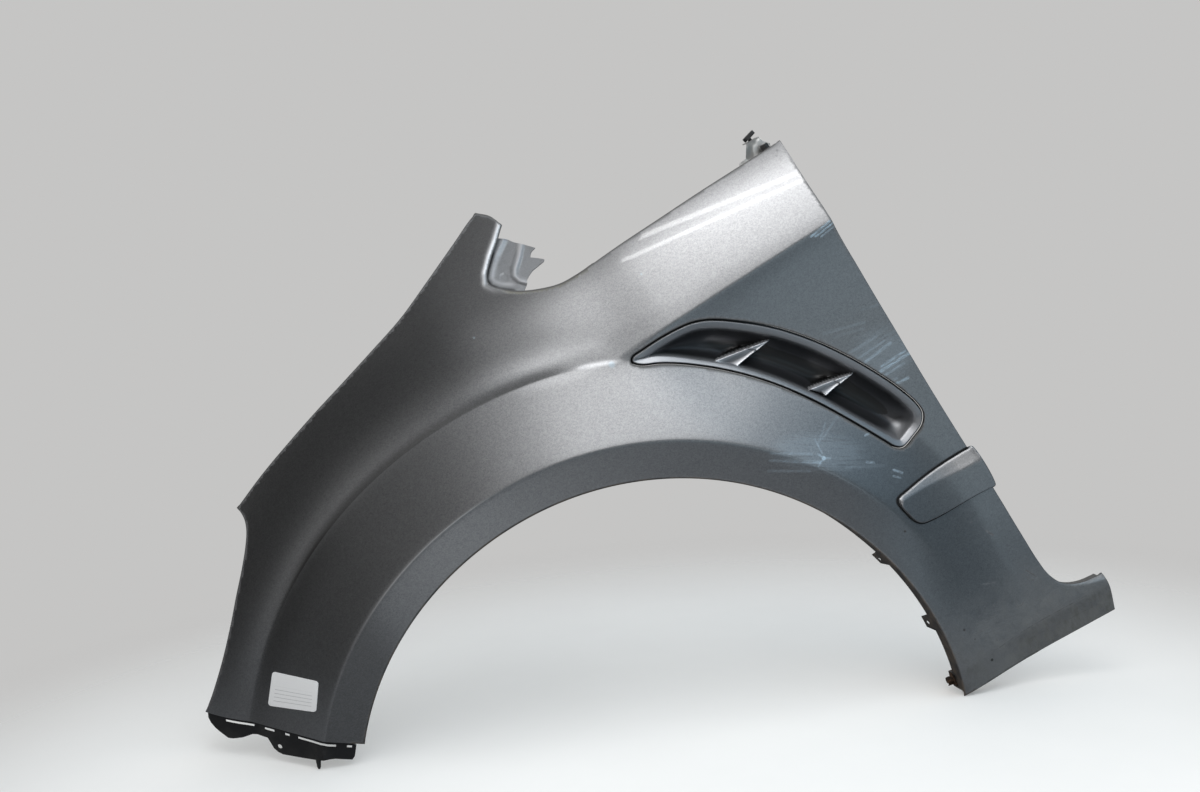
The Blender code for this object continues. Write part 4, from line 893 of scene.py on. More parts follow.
# dirt on the turned flange of the arch, and painted shade along the edges at the door, round the vent and on
# the foot
arch_dirt = turned.ramp(0.1, 0.9) * radius.ramp(392.0, 386.0)
door_edge = turned.ramp(0.2, 0.95) * z.ramp(325.0, 340.0) * x.ramp(488.0, 478.0)
vent_edge = turned.ramp(0.3, 0.9) * radius.ramp(392.0, 400.0) * radius.ramp(575.0, 560.0)
vent_edge = vent_edge * x.ramp(190.0, 194.0) * x.ramp(474.0, 472.0)
foot_edge = turned.ramp(0.85, 1.0) * z.ramp(20.0, 0.0) * x.ramp(522.0, 530.0)
painted_edge_shade = door_edge.most(vent_edge).most(foot_edge)
# painted shade on the lip band towards the nose
lip_band_shade = radius.ramp(419.5, 417.0) * x.ramp(-175.0, -235.0)
streaked = f.noise(1.0, 5.0, 0.7, at=f.vector(x * 0.16, z * 0.05, 9.0)).ramp(0.42, 0.64)
grime = z.ramp(-56.0, -64.0) * x.ramp(425.0, 470.0) * (0.35 + 0.65 * streaked * grit.ramp(0.36, 0.58))
grime = grime + z.ramp(-10.0, -60.0) * x.ramp(420.0, 380.0) * grit.ramp(0.48, 0.62) * 0.5
film_tone = f.mix(cloud, (0.185, 0.185, 0.172), (0.250, 0.245, 0.222))
dirt_tone = f.mix(grit.ramp(0.38, 0.62), (0.022, 0.019, 0.017), (0.085, 0.064, 0.046))
# from the paint up: share of each layer and its colour
LAYERS = [
    (hollow * 0.55, (0.16, 0.14, 0.125)), (groove, (0.070, 0.068, 0.066)),
    (sealer_mask * 0.9, (0.185, 0.175, 0.145)), (lip_band_shade * 0.40, (0.090, 0.087, 0.082)),
    (film * 0.62, film_tone), (grime * 0.50, (0.085, 0.080, 0.068)),
    (fold_light_mask * 0.85, (0.80, 0.81, 0.83)), (pale * 0.85, (0.46, 0.60, 0.70)),
    (dark, (0.022, 0.021, 0.020)), (painted_edge_shade * 0.85, (0.045, 0.043, 0.040)),
    (arch_dirt * 0.9, dirt_tone),
]
for share, tone in LAYERS:
    colour = f.mix(share, colour, tone)
# dark marks and dirt, with the painted shade along the edges, take away metal and lacquer
dirt_and_edge_shade = (dark + arch_dirt + painted_edge_shade * 0.8).clip()
metal = (1.0 - film * 0.45 * (1.0 - fold_light_mask)) * (1.0 - pale * 0.6) * (1.0 - dirt_and_edge_shade)
metal = metal * (1.0 - sealer_mask * 0.85)
rough = (0.42 + film * 0.14 + pale * 0.10 + dirt_and_edge_shade * 0.3).clip()
lacquer = (1.0 - film * 0.5) * (1.0 - pale * 0.5) * (1.0 - dirt_and_edge_shade)
silver_material = f.set(Base_Color=colour, Metallic=metal, Roughness=rough, Coat_Weight=lacquer,
                        Coat_Roughness=0.06)

f = Finish("inner_coat")
dust = f.noise(9.0, 5.0, 0.6)
inner = f.mix(dust.ramp(0.35, 0.7), (0.20, 0.205, 0.21), (0.13, 0.125, 0.115))
inner_material = f.set(Base_Color=inner, Metallic=0.35, Roughness=0.6)

panel = shell("panel_sheet", panel_points, panel_faces, panel_normals, SHEET, silver_material, inner_material)
for name, values in (("turned", turned_over), ("fold", painted_fold_light), ("sealer", sealer)):
    store(panel, name, values, values)
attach(panel, "root")
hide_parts("fender_panel")

# Vent grille
# One moulding in silver-grey plastic, set in the panel's opening with a fine shut line: a rim that
# leans inwards, a dished bowl behind it, and two hollow pointed fins that stand up to the rim.
VENT_GAP, VENT_FRAME, FRAME_BELOW, VENT_ROLL, VENT_DEPTH = 2.5, 8.2, 2.4, 19.0, 24.0
VENT_WALL, VENT_SKIRT, VENT_SET, RIM_LEAN, RIM_ROUND = 2.0, 11.0, 0.6, 0.42, 1.5
FINS = [((283.4, 421.6), (305.3, 402.8), (356, 411)), ((371, 336), (385, 320.2), (427, 326))]
FIN_SET, FIN_FALL, FIN_DROP, FIN_EDGE, FIN_HOLLOW = 1.2, 14.0, 5.5, 2.0, 3.6
GAP_FLOOR, GAP_SUNK = 4.0, 20.0
VENT_STEP = 1.9
FINE_STEP = 0.8
frame_loop = offset_loop(vent_loop, VENT_GAP)
fin_edges = [np.array([side, fin[2]], float) for fin in FINS for side in fin[:2]]


def fine_zone(p):
    near = np.min([distance(p, edge, closed=False) for edge in fin_edges], axis=0)
    deep = distance(p, frame_loop)
    return (near < 3.6) | ((deep > VENT_FRAME - 3.4) & (deep < VENT_FRAME + 2.6))


coarse, fine = [grid_within(frame_loop, step, 2.3) for step in (VENT_STEP, FINE_STEP)]
fill = [coarse[~fine_zone(coarse)], fine[fine_zone(fine)]]
fill += [offset_loop(frame_loop, q) for q in (0.3, 0.7, 1.2, 1.8)]
flat_v, faces_v = triangulate([frame_loop], np.vstack(fill))
vx, vz = flat_v[:, 0], flat_v[:, 1]
pairs = np.concatenate([faces_v[:, [0, 1]], faces_v[:, [1, 2]], faces_v[:, [2, 0]]])
pairs = np.concatenate([pairs, pairs[:, ::-1]])
near_count = np.bincount(pairs[:, 0], minlength=len(flat_v))


def mean_around(values):
    total = np.bincount(pairs[:, 0], weights=values[pairs[:, 1]], minlength=len(flat_v))
    return total / near_count


# the frame is narrower and leans more on its lower side, where inwards is up
deep_v = distance(flat_v, frame_loop)
steps = (np.array([0.5, 0.0]), np.array([0.0, 0.5]))
climb = np.stack([distance(flat_v + d, frame_loop) - distance(flat_v - d, frame_loop) for d in steps], 1)
lower_side = sstep(0.5 + 1.2 * (climb @ room_up[[0, 2]]))
frame_v = VENT_FRAME - FRAME_BELOW * lower_side * sstep((vx - 215.0) / 60.0) * sstep((440.0 - vx) / 40.0)
t = np.clip((above(deep_v - frame_v, 1.2) - 0.05) / VENT_ROLL, 0, 1)
bowl = VENT_DEPTH * (1 - (1 - t) ** 2)
ease = 0.7 * sstep((deep_v - VENT_FRAME - 3.0) / 8.0)
for _ in range(90):
    bowl += ease * (mean_around(bowl) - bowl)
lean = RIM_LEAN * (0.22 + 0.78 * lower_side)
edge = np.clip(1.0 - deep_v / RIM_ROUND, 0, 1)
rim = lean * np.minimum(deep_v, VENT_FRAME + 2.0) + RIM_ROUND * (1.0 - np.sqrt(1.0 - edge * edge))
drop = rim + bowl
sunk = bowl.copy()
fin_rim = np.zeros(len(flat_v))
for fin in FINS:
    left, right, tip = (np.array(q, float) for q in fin)
    root = (left + right) / 2
    reach = np.clip(((flat_v - root) @ (tip - root)) / ((tip - root) @ (tip - root)), 0, 1)
    level = lean * VENT_FRAME + FIN_SET + FIN_DROP * reach ** 2
    off_left = distance(flat_v, np.array([left, tip]), closed=False)
    off_right = distance(flat_v, np.array([right, tip]), closed=False)
    within = inside(flat_v, counter_clockwise(np.array(fin, float)))
    sides = np.where(within, 0.0, np.minimum(off_left, off_right))
    share = off_left / (off_left + off_right + 1e-6)
    hollow = FIN_HOLLOW * (1.0 - np.exp(-(off_left + off_right) / 14.0)) * 4.0 * share * (1.0 - share)
    outer = FIN_FALL * sides * sides / (sides + FIN_EDGE)
    fin_level = np.maximum(level + np.where(within, hollow, outer), rim)
    on_fin = (fin_level < drop) & (sides < 1.6)
    sunk = np.where(on_fin, 2.5 * np.where(within, hollow, 0.0), sunk)
    # share of painted highlight along the fins' edges
    fin_rim = np.maximum(fin_rim, on_fin * bell(np.minimum(off_left * 0.6, off_right), 1.5))
    drop = np.minimum(drop, fin_level)
front_v = np.stack([vx, skin(vx, vz) + VENT_SET + drop, vz], 1)

# the skirt: down to the gap's floor, out across it and back along the panel's flange
ring_v = [int(np.argmin(((flat_v - p) ** 2).sum(1))) for p in frame_loop]
inward = offset_loop(frame_loop, 1.0) - frame_loop
across = np.stack([-inward[:, 0], np.zeros(len(inward)), -inward[:, 1]], 1) * (VENT_GAP - 0.15)
base = front_v[ring_v]
stages = [base + np.array([0.0, GAP_FLOOR, 0.0]), base + np.array([0.0, GAP_FLOOR + 0.4, 0.0]) + across,
          base + np.array([0.0, VENT_SKIRT, 0.0]) + across]
side_v = []
above_ring = np.array(ring_v)
for stage in range(3):
    below_ring = len(front_v) + stage * len(ring_v) + np.arange(len(ring_v))
    for i in range(len(ring_v)):
        j = (i + 1) % len(ring_v)
        side_v.append((above_ring[j], above_ring[i], below_ring[i]))
        side_v.append((above_ring[j], below_ring[i], below_ring[j]))
    above_ring = below_ring
grille_points = np.vstack([front_v] + stages)
grille_faces = np.vstack([faces_v, np.array(side_v)])
grille_normals = vertex_normals(grille_points, grille_faces)

# the bowl's normals are evened out away from the fins and the frame
clean_v = vertex_normals(front_v, faces_v)
fin_loops = [counter_clockwise(np.array(fin, float)) for fin in FINS]
fin_off = np.min([distance(flat_v, loop) * ~inside(flat_v, loop) for loop in fin_loops], axis=0)
calm = 0.8 * sstep((fin_off - 3.0) / 4.0) * sstep((deep_v - VENT_FRAME - 1.5) / 4.0)
for _ in range(60):
    clean_v += calm[:, None] * (np.stack([mean_around(clean_v[:, k]) for k in range(3)], 1) - clean_v)
grille_normals[:len(front_v)] = clean_v / np.linalg.norm(clean_v, axis=1)[:, None]
# shade by depth, with the gap's floor darkest and light let in at the lower corner
tail = bell(np.hypot(vx - 447.0, vz - 233.0), 20.0)
sunk = sunk * (1.0 - 0.85 * tail * (sunk < GAP_SUNK - 1.0))
sunk = np.concatenate([sunk, np.full(3 * len(ring_v), GAP_SUNK)])
fin_rim = np.concatenate([fin_rim, np.zeros(3 * len(ring_v))])

f = Finish("grille_plastic")
grain = f.noise(900.0, 3.0, 0.6)
speck = f.flakes(1000.0)
deep, fin_edge_highlight = f.stored("sunk"), f.stored("fin_rim")
grained = ((speck - 0.5) * 0.14 + (grain - 0.5) * 0.14 + 0.5).clip()
tone = f.mix(grained, (0.24, 0.245, 0.26), (0.46, 0.465, 0.48))
dusk = f.mix(grain, (0.050, 0.051, 0.055), (0.085, 0.086, 0.092))
# painted shade: darker the deeper the bowl and black on the gap's floor; then a painted highlight on the
# fins' edges
tone = f.mix(deep.ramp(1.5, 9.0), tone, dusk)
tone = f.mix(deep.ramp(17.0, 19.0), tone, (0.006, 0.006, 0.006))
tone = f.mix(fin_edge_highlight * 0.9, tone, (0.88, 0.89, 0.92))
grille_material = f.set(Base_Color=tone, Metallic=0.8 * deep.ramp(19.5, 17.0), Roughness=0.36 + grain * 0.06,
                        Coat_Weight=0.4, Coat_Roughness=0.18)
grille = shell("grille_moulding", grille_points, grille_faces, grille_normals, VENT_WALL, grille_material,
               grille_material)
store(grille, "sunk", sunk, np.full(len(sunk), GAP_SUNK))
store(grille, "fin_rim", fin_rim, np.zeros(len(sunk)))
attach(grille, "root")
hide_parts("vent_grille")

# Side moulding
# Body-coloured plastic strip between the arch and the door edge, held by two pegs through the
# panel, with a bright bevel along its upper edge.
MOULD_LINE = [(509, 181), (481, 180.5), (453, 179.5), (434, 178.5), (412, 177.0), (403, 176.5), (398, 174.5),
              (395.5, 170), (396.5, 162), (399, 153), (403, 141), (411, 131), (429, 126), (452, 123.5),
              (489, 122.5), (514, 122.5), (517, 124.5), (518, 130), (518, 146), (517, 160), (515.5, 174),
              (513.5, 179.5)]
MOULD_RISE, MOULD_CREST, CREST_FRONT, MOULD_GAP = 2.2, 7.0, 3.2, 1.0
BEVEL_FRONT, BEVEL_GROWTH = 4.5, 14.0
SHUT_TOP, SHUT_BELOW = 2.8, 1.5
mould_loop = counter_clockwise(closed_stations(spline(MOULD_LINE, closed=True), 1.6))
mould_upper = spline([MOULD_LINE[-1]] + MOULD_LINE[:8])


def mould_parts(x, z):
    """Distance inside the shut line, distance from the upper edge, and share along the strip."""
    p = np.stack([x, z], 1)
    d = distance(p, mould_loop)
    top = distance(p, mould_upper, closed=False)
    share = sstep((x - 397.0) / 110.0)
    gap = SHUT_BELOW + (SHUT_TOP - SHUT_BELOW) * sstep((12.0 - (top - d)) / 12.0) * sstep((z - 158.0) / 12.0)
    gap = gap * (1.0 - sstep((x - 507.0) / 7.0))
    return d - gap, top - gap, share


def mould_top(x, z):
    d, top, share = mould_parts(x, z)
    width = BEVEL_FRONT + BEVEL_GROWTH * share
    crest = CREST_FRONT + (MOULD_CREST - CREST_FRONT) * share
    bevel = 1.0 - above(1.0 - top / width, 0.08)
    lift = MOULD_RISE * 0.5 + (crest - MOULD_RISE * 0.5) * np.clip(bevel, 0, 1)
    rim = np.clip(d / 1.8, 0, 1)
    round_off = np.sqrt(np.clip(1 - (1 - rim) ** 2, 0, 1))
    return skin(x, z) - MOULD_GAP - 0.3 - lift * round_off


fill = [grid_within(mould_loop, 1.7, 5.4)]
fill += [offset_loop(mould_loop, q) for q in (0.5, 0.95, 1.15, 1.5, 2.0, 2.5, 2.8, 3.2, 3.8, 4.6)]
flat_m, faces_m = triangulate([mould_loop], np.vstack(fill))
mx, mz = flat_m[:, 0], flat_m[:, 1]
front_m = np.stack([mx, mould_top(mx, mz), mz], 1)
rear_m = np.stack([mx, skin(mx, mz) - MOULD_GAP, mz], 1)
# painted shade: the strip's edge along the shut line is coloured black
shut = (1.0 - sstep((mould_parts(mx, mz)[0] + 0.25) / 0.4)) * (1.0 - sstep((mx - 507.0) / 6.0))
f, silver = metallic_paint("moulding_paint", SILVER_DARK, SILVER_LIGHT)
shut_line_shade = f.stored("shut")
edge_film = f.noise(45.0, 4.0, 0.6)
silver = f.mix(shut_line_shade, silver, (0.006, 0.006, 0.006))
body_side = 1.0 - shut_line_shade
rough = 0.40 + edge_film * 0.06 + shut_line_shade * 0.4
moulding_material = f.set(Base_Color=silver, Metallic=body_side, Roughness=rough, Coat_Weight=body_side,
                          Coat_Roughness=0.05)
moulding = sheet("moulding_strip", front_m, rear_m, faces_m, vertex_normals(front_m, faces_m),
                 vertex_normals(rear_m, faces_m[:, ::-1]), [moulding_material])
store(moulding, "shut", shut, shut)
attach(moulding, "root")
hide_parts("side_moulding")

# Notch bracket
# Stamped sheet behind the notch at the windscreen pillar, painted with the panel: a rolled side, a
# plate with a hexagonal dimple, and one tall rib.
NOTCH_PLATE = [(136, 668), (145, 662), (150, 655), (159, 647), (170, 636), (163, 634), (158, 629),
               (164, 625), (172, 619), (170, 617), (152, 614), (145, 611), (140, 608), (135, 602),
               (129, 598), (117, 603), (104, 612), (96, 621), (95, 632), (103, 642), (118, 656)]
NOTCH_SIDE = [(136, 668), (118, 656), (103, 642), (95, 632), (96, 621), (104, 612), (117, 603)]
NOTCH_SET, NOTCH_SINK, NOTCH_TILT, NOTCH_WALL, RIB_HALF, RIB_HIGH = 15.2, 4.0, 0.10, 1.0, 4.2, 7.0
RIB = np.array([(159.0, 650.0), (147.0, 637.0), (134.0, 626.0), (129.5, 619.0), (131.5, 612.0),
                (139.0, 605.0)])
DIMPLE_AT, DIMPLE_HALF, DIMPLE_DEPTH, DIMPLE_TURN = (117.0, 623.0), 4.0, 1.1, math.radians(20.0)


def notch_depth(x, z):
    p = np.stack([x, z], 1)
    rib = RIB_HIGH * (1 - sstep(distance(p, RIB, closed=False) / (RIB_HALF + 1.5)))
    edge = distance(p, np.array(NOTCH_SIDE, float), closed=False)
    inner = sstep((edge - 5.0) / 9.0)
    across, up = x - DIMPLE_AT[0], z - DIMPLE_AT[1]
    u = across * math.cos(DIMPLE_TURN) + up * math.sin(DIMPLE_TURN)
    v = up * math.cos(DIMPLE_TURN) - across * math.sin(DIMPLE_TURN)
    hexagon = np.maximum(np.abs(u), np.maximum(np.abs(0.5 * u + 0.866 * v), np.abs(0.5 * u - 0.866 * v)))
    dimple = DIMPLE_DEPTH * (1 - sstep((hexagon - DIMPLE_HALF) / 1.2))
    tilt = NOTCH_TILT * (z - 630.0) * inner
    return body(x, z) + NOTCH_SET + NOTCH_SINK * inner - rib * inner + dimple + tilt


notch_loop = closed_stations(counter_clockwise(np.array(NOTCH_PLATE, float)), 1.6)
flat_n, faces_n = triangulate([notch_loop], grid_within(notch_loop, 1.5, 0.9))
nx, nz = flat_n[:, 0], flat_n[:, 1]
notch_points = np.stack([nx, notch_depth(nx, nz), nz], 1)
# the rib's crest and the fold beside the rolled side catch the light through normals leant up and a painted
# highlight, and the plate beside the rolled side gets painted shade
side_off = distance(flat_n, np.array(NOTCH_SIDE[1:], float), closed=False)
fold = bell(side_off - 9.0, 2.2) * sstep((nz - 606.0) / 8.0) * sstep((660.0 - nz) / 25.0)
crest = np.maximum(bell(distance(flat_n, RIB, closed=False), 2.6), 0.8 * fold)
tucked_in = 1.0 - sstep((side_off - 2.0) / 4.5)
notch_normals = vertex_normals(notch_points, faces_n) + room_up * (0.20 + 0.30 * crest)[:, None]
notch_normals /= np.linalg.norm(notch_normals, axis=1)[:, None]
f, bare_sheet = metallic_paint("notch_paint", (0.34, 0.35, 0.365), (0.54, 0.55, 0.57))
veil = f.noise(35.0, 4.0, 0.6)
tucked, ridge = f.stored("tucked"), f.stored("ridge")
# painted shade beside the rolled side, and a painted highlight on the rib's crest and the fold
tone = f.mix(veil.ramp(0.5, 0.75) * 0.5, bare_sheet, (0.22, 0.22, 0.215))
tone = f.mix(tucked * 0.92, tone, (0.030, 0.030, 0.032))
tone = f.mix(ridge * 0.8, tone, (0.86, 0.87, 0.90))
notch_material = f.set(Base_Color=tone, Metallic=0.86 - veil * 0.2, Roughness=0.42, Coat_Weight=0.6,
                       Coat_Roughness=0.12)
notch = shell("notch_sheet", notch_points, faces_n, notch_normals, NOTCH_WALL, notch_material, inner_material)
store(notch, "tucked", tucked_in, tucked_in)
store(notch, "ridge", crest, crest)
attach(notch, "root")
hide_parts("notch_bracket")

# Paper sticker
# A small white paper label with rounded corners, stuck near the lower front corner of the skin.
# It carries blank ruled lines only.
STICKER_CORNERS = np.array([(-356.0, 346.0), (-305.0, 318.0), (-326.0, 287.0), (-383.0, 311.0)])
COLUMNS, ROWS, CORNER_ROUND, PAPER, PAPER_LIFT = 41, 29, 4.0, 0.12, 0.25
top_left, top_right, low_right, low_left = STICKER_CORNERS
long_side, short_side = np.linalg.norm(top_right - top_left), np.linalg.norm(low_left - top_left)
rows, quads, grid_uv = [], [], []
for j in range(ROWS):
    for i in range(COLUMNS):
        u, v = i / (COLUMNS - 1), j / (ROWS - 1)
        grid_uv.append((u, 1 - v))
        a = max(0.0, CORNER_ROUND - min(u, 1 - u) * long_side) / CORNER_ROUND
        b = max(0.0, CORNER_ROUND - min(v, 1 - v) * short_side) / CORNER_ROUND
        u += (1 - math.sqrt(1 - b * b / 2)) * a * CORNER_ROUND / long_side * (1 if u < 0.5 else -1)
        v += (1 - math.sqrt(1 - a * a / 2)) * b * CORNER_ROUND / short_side * (1 if v < 0.5 else -1)
        rows.append((1 - v) * ((1 - u) * top_left + u * top_right) + v * ((1 - u) * low_left + u * low_right))
        if i < COLUMNS - 1 and j < ROWS - 1:
            a = j * COLUMNS + i
            quads.append((a, a + COLUMNS, a + COLUMNS + 1))
            quads.append((a, a + COLUMNS + 1, a + 1))
sx, sz = np.array(rows).T
outward = facing(sx, sz)
sticker_points = np.stack([sx, skin(sx, sz), sz], 1) + outward * PAPER_LIFT
f = Finish("paper")
u = f.node("ShaderNodeSeparateXYZ", Vector=f.node("ShaderNodeUVMap", out="UV"))
v = u.output(1)
fibre = f.noise(800.0, 3.0, 0.7)
lines = abs((v * 9.0).math("FRACT") - 0.5).ramp(0.09, 0.05) * v.ramp(0.12, 0.16) * v.ramp(0.62, 0.58)
lines = lines * u.ramp(0.10, 0.11) * u.ramp(0.90, 0.89)
paper = f.mix(lines * 0.55, f.mix(fibre, (0.82, 0.815, 0.81), (0.87, 0.87, 0.87)), (0.25, 0.25, 0.26))
paper_material = f.set(Base_Color=paper, Roughness=0.75, Normal=f.bump(fibre, 0.1, 0.0002))
sticker = shell("sticker", sticker_points, np.array(quads), outward, PAPER, paper_material, paper_material)
layer = sticker.data.uv_layers.new(name="UVMap")
index = np.zeros(len(sticker.data.loops), np.int32)
sticker.data.loops.foreach_get("vertex_index", index)
layer.data.foreach_set("uv", np.array(grid_uv + grid_uv)[index].ravel())
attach(sticker, "root")

# Small fixings
# Black plastic strip and retainer, bare folded bracket with its bolt, and the rusty spring nut keep
# their own solids and get their finish here.
f = Finish("black_plastic")
fine = f.noise(600.0, 3.0, 0.6)
dust = f.noise(25.0, 4.0, 0.6)
black = f.mix(dust.ramp(0.45, 0.8), (0.012, 0.012, 0.013), (0.035, 0.034, 0.032))
black_material = f.set(Base_Color=black, Roughness=0.42 + dust * 0.2, Normal=f.bump(fine, 0.15, 0.0004))

f = Finish("bare_metal")
brushed = f.noise(300.0, 3.0, 0.6)
dents = f.noise(70.0, 1.0, 0.5)
bare = f.mix(dents.ramp(0.42, 0.58), (0.40, 0.40, 0.39), (0.86, 0.86, 0.84))
bare_material = f.set(Base_Color=bare, Metallic=1.0, Roughness=0.34 + brushed * 0.12,
                      Normal=f.bump(dents, 0.6, 0.003))

f = Finish("dark_bolt")
worn = f.noise(400.0, 3.0, 0.6)
bolt_material = f.set(Base_Color=f.mix(worn, (0.04, 0.04, 0.042), (0.16, 0.155, 0.15)), Metallic=0.9,
                      Roughness=0.38 + worn * 0.2)

f = Finish("rusty_steel")
rust = f.noise(180.0, 6.0, 0.65)
rusty = f.mix(rust.ramp(0.35, 0.65), (0.030, 0.026, 0.023), (0.105, 0.056, 0.030))
rusty_material = f.set(Base_Color=rusty, Metallic=rust.ramp(0.6, 0.4) * 0.6, Roughness=0.78,
                       Normal=f.bump(rust, 0.5, 0.0006))

for node, material in (("bumper_bracket", black_material), ("retainer_clip", black_material),
                       ("rear_top_bracket", bare_material), ("bracket_bolt", bolt_material),
                       ("arch_spring_nut", rusty_material)):
    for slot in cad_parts[node].material_slots:
        slot.material = material

# Floor and light
# A pale floor patch under the part, tilted as the panel was leaned, which fades into the backdrop,
# and soft lamps: a broad one overhead, two long tubes for the twin line on the crown, and fills.
middle = np.array([-0.45, 0.05, 0.40])


def room(right, up, front):
    """A place in the room: metres to the right, up and forward of the middle of the part."""
    return middle + room_right * right + room_up * up + room_front * front


def lamp(name, at, aim, size, radiance, side=room_right, colour=(1.0, 1.0, 1.0), soft=None):
    """Rectangular lamp of an even radiance; soft gives the shares that fade at its left, right and
    other sides."""
    data = bpy.data.lights.new(name, "AREA")
    data.shape = "RECTANGLE"
    data.size, data.size_y = size
    data.energy = radiance * size[0] * size[1] * math.pi
    data.color = colour
    obj = bpy.data.objects.new(name, data)
    z_axis = (Vector(at) - Vector(aim)).normalized()
    x_axis = Vector(side) - z_axis * z_axis.dot(Vector(side))
    x_axis.normalize()
    turn = Matrix((x_axis, z_axis.cross(x_axis), z_axis)).transposed().to_4x4()
    obj.matrix_world = Matrix.Translation(Vector(at)) @ turn
    obj.visible_camera = False
    if soft:
        data.use_nodes = True
        tree = data.node_tree
        place = tree.nodes.new("ShaderNodeNewGeometry")
        split = tree.nodes.new("ShaderNodeSeparateXYZ")
        tree.links.new(place.outputs["Parametric"], split.inputs[0])
        u, v = Shade(tree, split.outputs[0]), Shade(tree, split.outputs[1])
        strength = u.ramp(0.0, soft[0]) * u.ramp(1.0, 1.0 - soft[1])
        strength = strength * v.ramp(0.0, soft[2]) * v.ramp(1.0, 1.0 - soft[2])
        join(tree, tree.nodes["Emission"].inputs["Strength"], strength)
    bpy.context.scene.collection.objects.link(obj)


TUBE_HIGH, TUBE_WIDE, TUBE_GLOW = 0.80, 0.026, 6.3
lamp("overhead", room(0.11, 1.20, 0.72), room(0.11, 0.0, 0.72), (1.54, 1.70), 2.5, soft=(0.22, 0.42, 0.25))
lamp("overhead_front", room(0.18, 1.22, 2.30), room(0.18, 0.0, 2.30), (1.46, 2.2), 1.7,
     soft=(0.22, 0.40, 0.22))
for start, end in (((-0.166, 0.0), (0.125, 0.20)), ((-0.235, 0.062), (0.125, 0.262))):
    a, b = room(start[0], TUBE_HIGH, start[1]), room(end[0], TUBE_HIGH, end[1])
    at = (a + b) / 2
    lamp("tube", at, at - room_up, (float(np.linalg.norm(b - a)), TUBE_WIDE), TUBE_GLOW, side=b - a)
lamp("window", room(1.05, 0.05, 2.3), room(0.2, 0.0, 0.0), (1.3, 1.1), 0.5, colour=(0.72, 0.9, 1.0),
     soft=(0.25, 0.25, 0.25))

# the floor lies under the lowest corner of the part and the lowest one well to its right
FLOOR_RADIUS, FLOOR_SIDES, FLOOR_DROP, FLOOR_GLOW = 2.6, 64, 0.0005, 0.22
shown = [o for o in bpy.context.scene.objects if o.type == "MESH" and not o.hide_render]
corners = np.vstack([np.array([o.matrix_world @ v.co for v in o.data.vertices]) for o in shown])
low = corners[np.argmin(corners @ room_up)]
far = corners[corners @ room_right > (low @ room_right) + 0.5]
low_right = far[np.argmin(far @ room_up)]
along = (low_right - low) / np.linalg.norm(low_right - low)
floor_up = room_up - along * (room_up @ along)
floor_up /= np.linalg.norm(floor_up)
deepest = ((corners - low) @ floor_up).min() - FLOOR_DROP
floor_at = middle - floor_up * ((middle - low) @ floor_up) + floor_up * deepest
turn = Vector(floor_up).to_track_quat("Z", "Y").to_matrix()
steps = [2 * math.pi * k / FLOOR_SIDES for k in range(FLOOR_SIDES)]
ring = [(FLOOR_RADIUS * math.cos(a), FLOOR_RADIUS * math.sin(a), 0.0) for a in steps]
wedges = [(0, k + 1, (k + 1) % FLOOR_SIDES + 1) for k in range(FLOOR_SIDES)]
mesh = bpy.data.meshes.new("floor")
mesh.from_pydata([(0.0, 0.0, 0.0)] + ring, [], wedges)
floor = bpy.data.objects.new("floor", mesh)
floor.matrix_world = Matrix.Translation(Vector(floor_at)) @ turn.to_4x4()
bpy.context.scene.collection.objects.link(floor)
f = Finish("pale_floor")


def floor_patch(local, near, far):
    """1 within near metres of a place on the floor, 0 beyond far."""
    off = f.node("ShaderNodeVectorMath", {"operation": "SUBTRACT"}, i0=f.place, i1=tuple(local))
    return f.node("ShaderNodeVectorMath", {"operation": "LENGTH"}, out="Value", i0=off).ramp(far, near)


def floor_place(right, front):
    """A place straight over the floor, in the floor's own axes."""
    at = middle + room_right * right + room_front * front
    at = at - floor_up * ((at - floor_at) @ floor_up)
    return turn.inverted() @ Vector(at - floor_at)


dusty = f.noise(3.0, 4.0, 0.6)
underside = f.node("ShaderNodeNewGeometry", out="Backfacing")
looked_at = f.node("ShaderNodeLightPath", out="Is Camera Ray")
fade_at = turn.inverted() @ Vector(room_front * 0.25 + room_right * 0.02)
seen_floor = floor_patch(fade_at, 0.55, 1.25) * (1.0 - underside)
pale = f.mix(dusty, (0.70, 0.695, 0.68), (0.76, 0.755, 0.74))
# what the part mirrors: a grey floor with a cool side and a bright patch in front
cool = floor_patch(floor_place(0.62, 0.75), 0.20, 0.62)
mirrored = f.mix(cool, (0.165, 0.167, 0.172), (0.100, 0.125, 0.146))
mirrored = f.mix(floor_patch(floor_place(0.80, 1.45), 0.20, 0.62), mirrored, (0.34, 0.40, 0.44))
mirrored = f.mix(floor_patch(floor_place(-0.06, 0.37), 0.04, 0.22), mirrored, (0.50, 0.50, 0.50))
glow = f.mix(looked_at, (0.0, 0.0, 0.0), pale)
f.set(Base_Color=f.mix(looked_at, mirrored, pale), Roughness=0.75, Emission_Color=glow,
      Emission_Strength=FLOOR_GLOW)
blend = f.tree.nodes.new("ShaderNodeMixShader")
clear = f.tree.nodes.new("ShaderNodeBsdfTransparent")
join(f.tree, blend.inputs[0], seen_floor)
f.tree.links.new(clear.outputs[0], blend.inputs[1])
f.tree.links.new(f.shader.outputs[0], blend.inputs[2])
f.tree.links.new(blend.outputs[0], f.tree.nodes["Material Output"].inputs["Surface"])
mesh.materials.append(f.material)

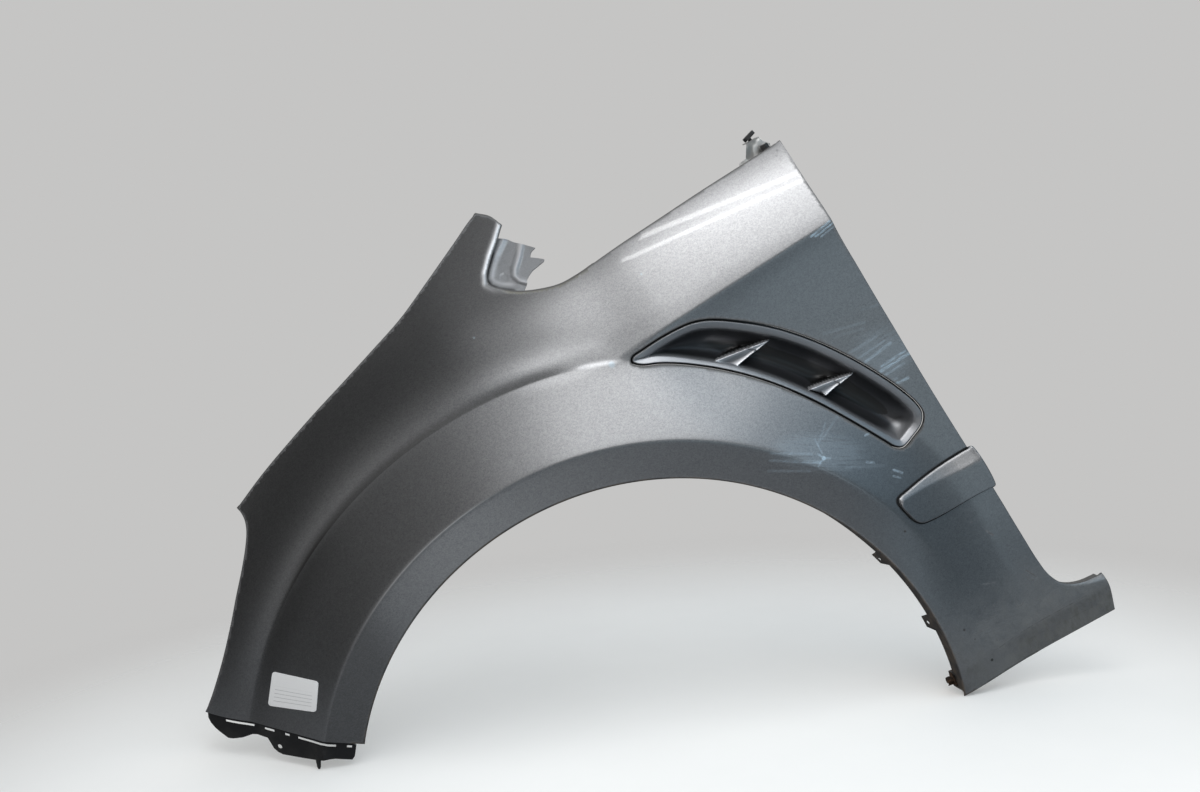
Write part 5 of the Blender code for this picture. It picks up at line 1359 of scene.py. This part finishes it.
# the backdrop: even to the camera, darker in reflections, with brighter patches of wall round the room
world = bpy.data.worlds.new("studio")
world.use_nodes = True
bpy.context.scene.world = world
tree = world.node_tree
shader = tree.nodes["Background"]
direction = tree.nodes.new("ShaderNodeTexCoord")


def toward(aim):
    """How far a ray of the world points along a direction of the room."""
    dot = tree.nodes.new("ShaderNodeVectorMath")
    dot.operation = "DOT_PRODUCT"
    d = room_right * aim[0] + room_up * aim[1] + room_front * aim[2]
    dot.inputs[1].default_value = tuple(d / np.linalg.norm(d))
    tree.links.new(direction.outputs["Generated"], dot.inputs[0])
    return Shade(tree, dot.outputs["Value"])


# direction in the room, where the patch starts and where it is full, and its strength
BACKDROP_SEEN, BACKDROP_SOFT, BACKDROP_BASE = 0.56, 0.75, 0.04
BLUE_AIM = (0.6, 0.75, 0.3)
WALL_PATCHES = [((1, 0, 0), -0.75, 0.1, 0.045), ((0.33, -0.33, 0.88), 0.955, 0.99, 0.20),
                ((-0.68, 0.38, 0.62), 0.92, 1.0, 0.075), ((-0.45, -0.2, 0.87), 0.80, 1.0, 0.29),
                ((0, 0, 1), -0.3, -0.8, 0.45), (BLUE_AIM, 0.68, 0.98, 0.34)]
ambient = BACKDROP_BASE
for aim, start, full, gain in WALL_PATCHES:
    ambient = ambient + toward(aim).ramp(start, full) * gain
path = tree.nodes.new("ShaderNodeLightPath")
seen = Shade(tree, path.outputs["Is Camera Ray"])
diffuse = Shade(tree, path.outputs["Is Diffuse Ray"])
strength = ambient * (1.0 - seen) * (1.0 - diffuse) + seen * BACKDROP_SEEN + diffuse * BACKDROP_SOFT
join(tree, shader.inputs["Strength"], strength)
blue = toward(BLUE_AIM).ramp(0.68, 0.98) * 1.3 + toward((0.55, -0.1, 0.8)).ramp(0.7, 0.95) * 0.7
tint = tree.nodes.new("ShaderNodeMix")
tint.data_type = "RGBA"
join(tree, tint.inputs[0], blue.clip() * (1.0 - seen))
tint.inputs[6].default_value = (1.0, 0.995, 0.985, 1.0)
tint.inputs[7].default_value = (0.62, 0.90, 1.12, 1.0)
tree.links.new(tint.outputs[2], shader.inputs["Color"])

bpy.context.scene.view_settings.view_transform = "Standard"
